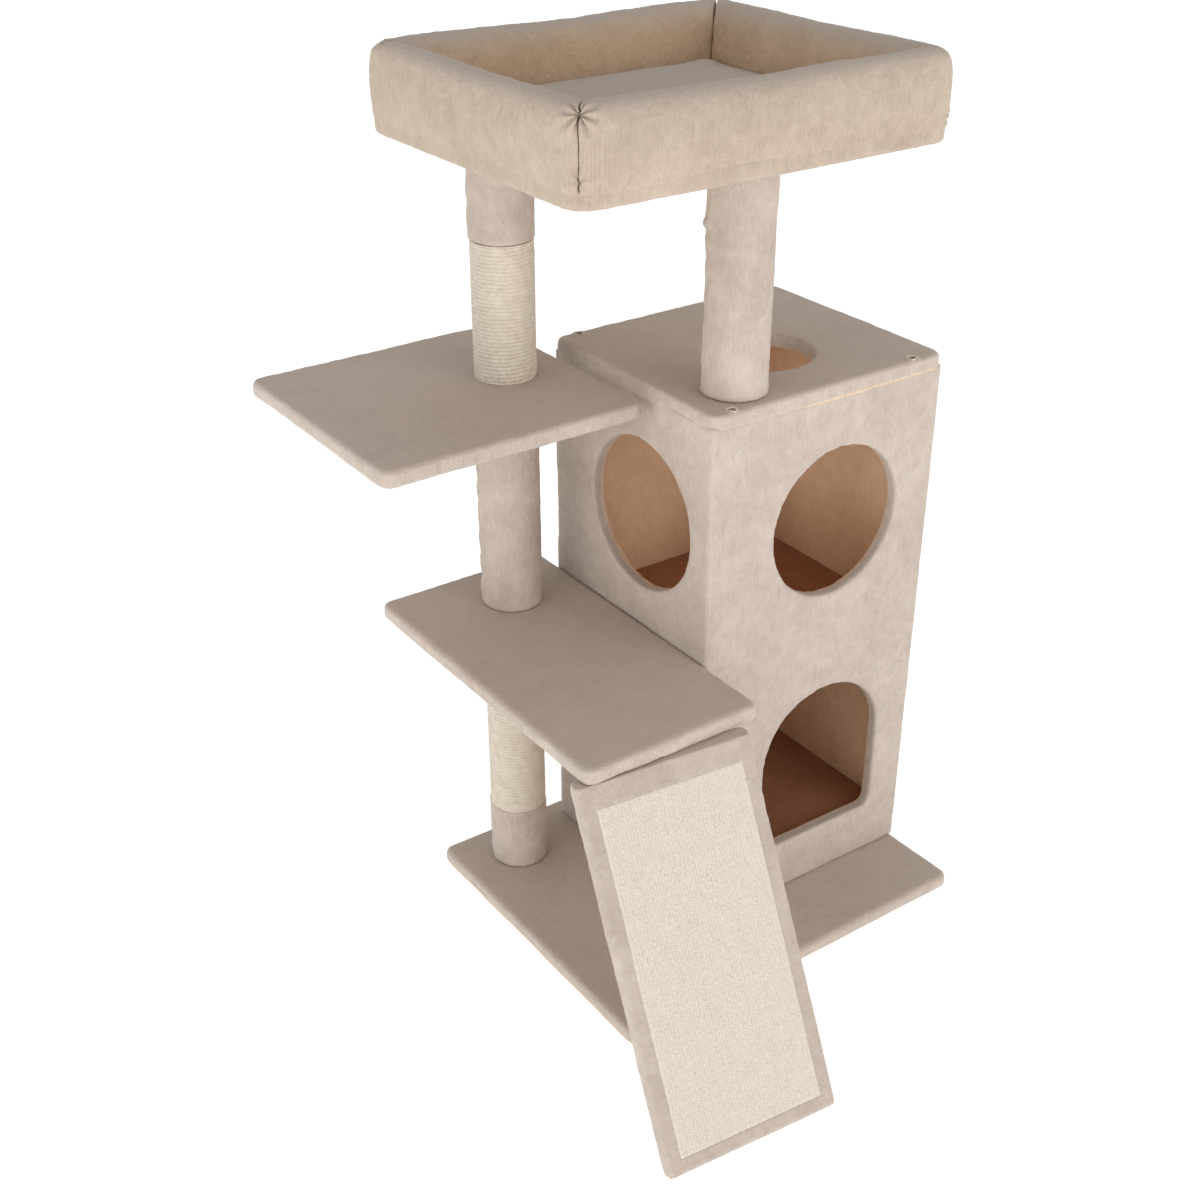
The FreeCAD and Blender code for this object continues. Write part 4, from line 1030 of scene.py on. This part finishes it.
def bed_roll(side, seed):
    """One stuffed side of the bed's rim."""
    node = f"bed_{side}_roll"
    piece = roll_start(f"soft_{node}", side)
    points = points_of(piece)
    from_seam = np.minimum(*past_seam(points, side))
    pinned = (points[:, 2] < ROLL_BASE + 2 * MM) | (from_seam < 2.5 * MM)
    rise = np.clip((points[:, 2] - ROLL_BASE) / (16 * MM), 0, 1)
    cap = ROLL_SWELL * np.clip((from_seam - 2 * MM) / (30 * MM), 0, 1) ** 0.5 * rise + 0.1 * MM
    puff(piece, cap, pinned)
    subdivide(piece)
    subdivide(piece)
    (x_low, x_high), (y_low, y_high) = INNER["x"], INNER["y"]
    crest = ROLL_BASE + ROLL_HEIGHT
    if side in ("front", "left"):
        out = 0.92 * ROLL_WIDTH
        gather(piece, (x_low - out, y_low - out, crest - 12 * MM), reach=27 * MM,
               height=2.0 * MM, dip=2.2 * MM)
        gather(piece, (x_low - out, y_low - out, ROLL_BASE + 6 * MM), reach=20 * MM, folds=5,
               height=0.9 * MM, dip=0.4 * MM)
    if side in ("front", "right"):
        gather(piece, (x_high + ROLL_WIDTH, y_low - ROLL_WIDTH, ROLL_BASE + 7 * MM), reach=16 * MM,
               folds=6, height=1.6 * MM, dip=1.0 * MM)
    if side in ("back", "left"):
        out = 0.7 * ROLL_WIDTH
        gather(piece, (x_low - out, y_high + out, crest - 4 * MM), reach=20 * MM,
               folds=6, height=1.3 * MM, dip=1.5 * MM)
    ruffle(piece, ROLL_NAP, seed)
    sew(piece, side)
    points = points_of(piece)
    inner_face = -past_wall(points, side)
    paint(piece, "inside", np.clip((0.42 * ROLL_WIDTH + inner_face) / (0.3 * ROLL_WIDTH), 0, 1))
    finish_piece(piece, "bed_plush", BED_PLUSH, node + "_cover", node + "_filling")
    return piece


def bed_cushion():
    """The flat cushion: a crowned form with soft edges."""
    lo, hi = cushion_lo, cushion_hi
    inset = 2 * MM
    piece = soft_block("soft_bed_cushion", (lo[0] + inset, lo[1] + inset, lo[2] + 0.2 * MM),
                       (hi[0] - inset, hi[1] - inset, hi[2] - 5 * MM), corner=14 * MM, edge=8 * MM)
    remesh(piece, 6 * MM, passes=2)
    points = points_of(piece)
    pinned = points[:, 2] < lo[2] + 3 * MM
    cap = 5 * MM * np.clip(inside_box(points, lo, hi) / (60 * MM), 0, 1) ** 0.5
    puff(piece, cap, pinned, pressure=3.0)
    subdivide(piece)
    subdivide(piece)
    ruffle(piece, CUSHION_NAP, seed=45)
    finish_piece(piece, "bed_plush", BED_PLUSH, "bed_cushion_cover", "bed_cushion_foam")
    return piece


for side_name in ("front", "right", "back", "left"):
    bed_roll(side_name, seed=40)
bed_cushion()


# ---------------------------------------------------------------- CAD nodes left showing

for entry in frame["record"]["subparts"]:
    node = frame["nodes"][entry["node"]]
    node.data.materials.clear()
    node.data.materials.append(LOOKS[entry["material_slot"]])


# ---------------------------------------------------------------- floor, light and camera

def floor():
    """A wide pale floor."""
    look = Look("floor", roughness=0.9)
    look.shader.inputs["Emission Color"].default_value = (1, 1, 1, 1)
    look.shader.inputs["Emission Strength"].default_value = FLOOR_GLOW
    look.finish((0.93, 0.93, 0.93, 1), look.bump(look.noise(0.4), 0.1 * MM, 0.1))
    corners = ((-1, -1), (1, -1), (1, 1), (-1, 1))
    piece = new_piece("floor", [(x * FLOOR_REACH, y * FLOOR_REACH, 0) for x, y in corners], [[0, 1, 2, 3]])
    piece.data.materials.append(look.material)


def soft_light(name, place, target, size, power, tint=(1, 1, 1)):
    """A large square light that faces a point."""
    data = bpy.data.lights.new(name, "AREA")
    data.shape = "SQUARE"
    data.size = size
    data.energy = power
    data.color = tint
    lamp = bpy.data.objects.new(name, data)
    lamp.location = place
    lamp.rotation_euler = (Vector(target) - Vector(place)).to_track_quat("-Z", "Y").to_euler()
    scene.collection.objects.link(lamp)


floor()
world = bpy.data.worlds.new("studio")
world.use_nodes = True
world.node_tree.nodes["Background"].inputs["Color"].default_value = (1, 1, 1, 1)
world.node_tree.nodes["Background"].inputs["Strength"].default_value = WORLD_STRENGTH
scene.world = world
soft_light("key", KEY_PLACE, (0, 0, 0.5), size=2.2, power=36, tint=(1.0, 0.985, 0.965))
soft_light("fill", FILL_PLACE, (0, 0, 0.4), size=2.0, power=31)

camera_data = bpy.data.cameras.new("camera")
camera_data.lens = CAMERA_LENS
camera_data.sensor_width = CAMERA_SENSOR
camera = bpy.data.objects.new("camera", camera_data)
camera.location = CAMERA_PLACE
camera.rotation_euler = Vector(CAMERA_DIRECTION).to_track_quat("-Z", "Y").to_euler()
scene.collection.objects.link(camera)
scene.camera = camera
scene.view_settings.view_transform = "Standard"
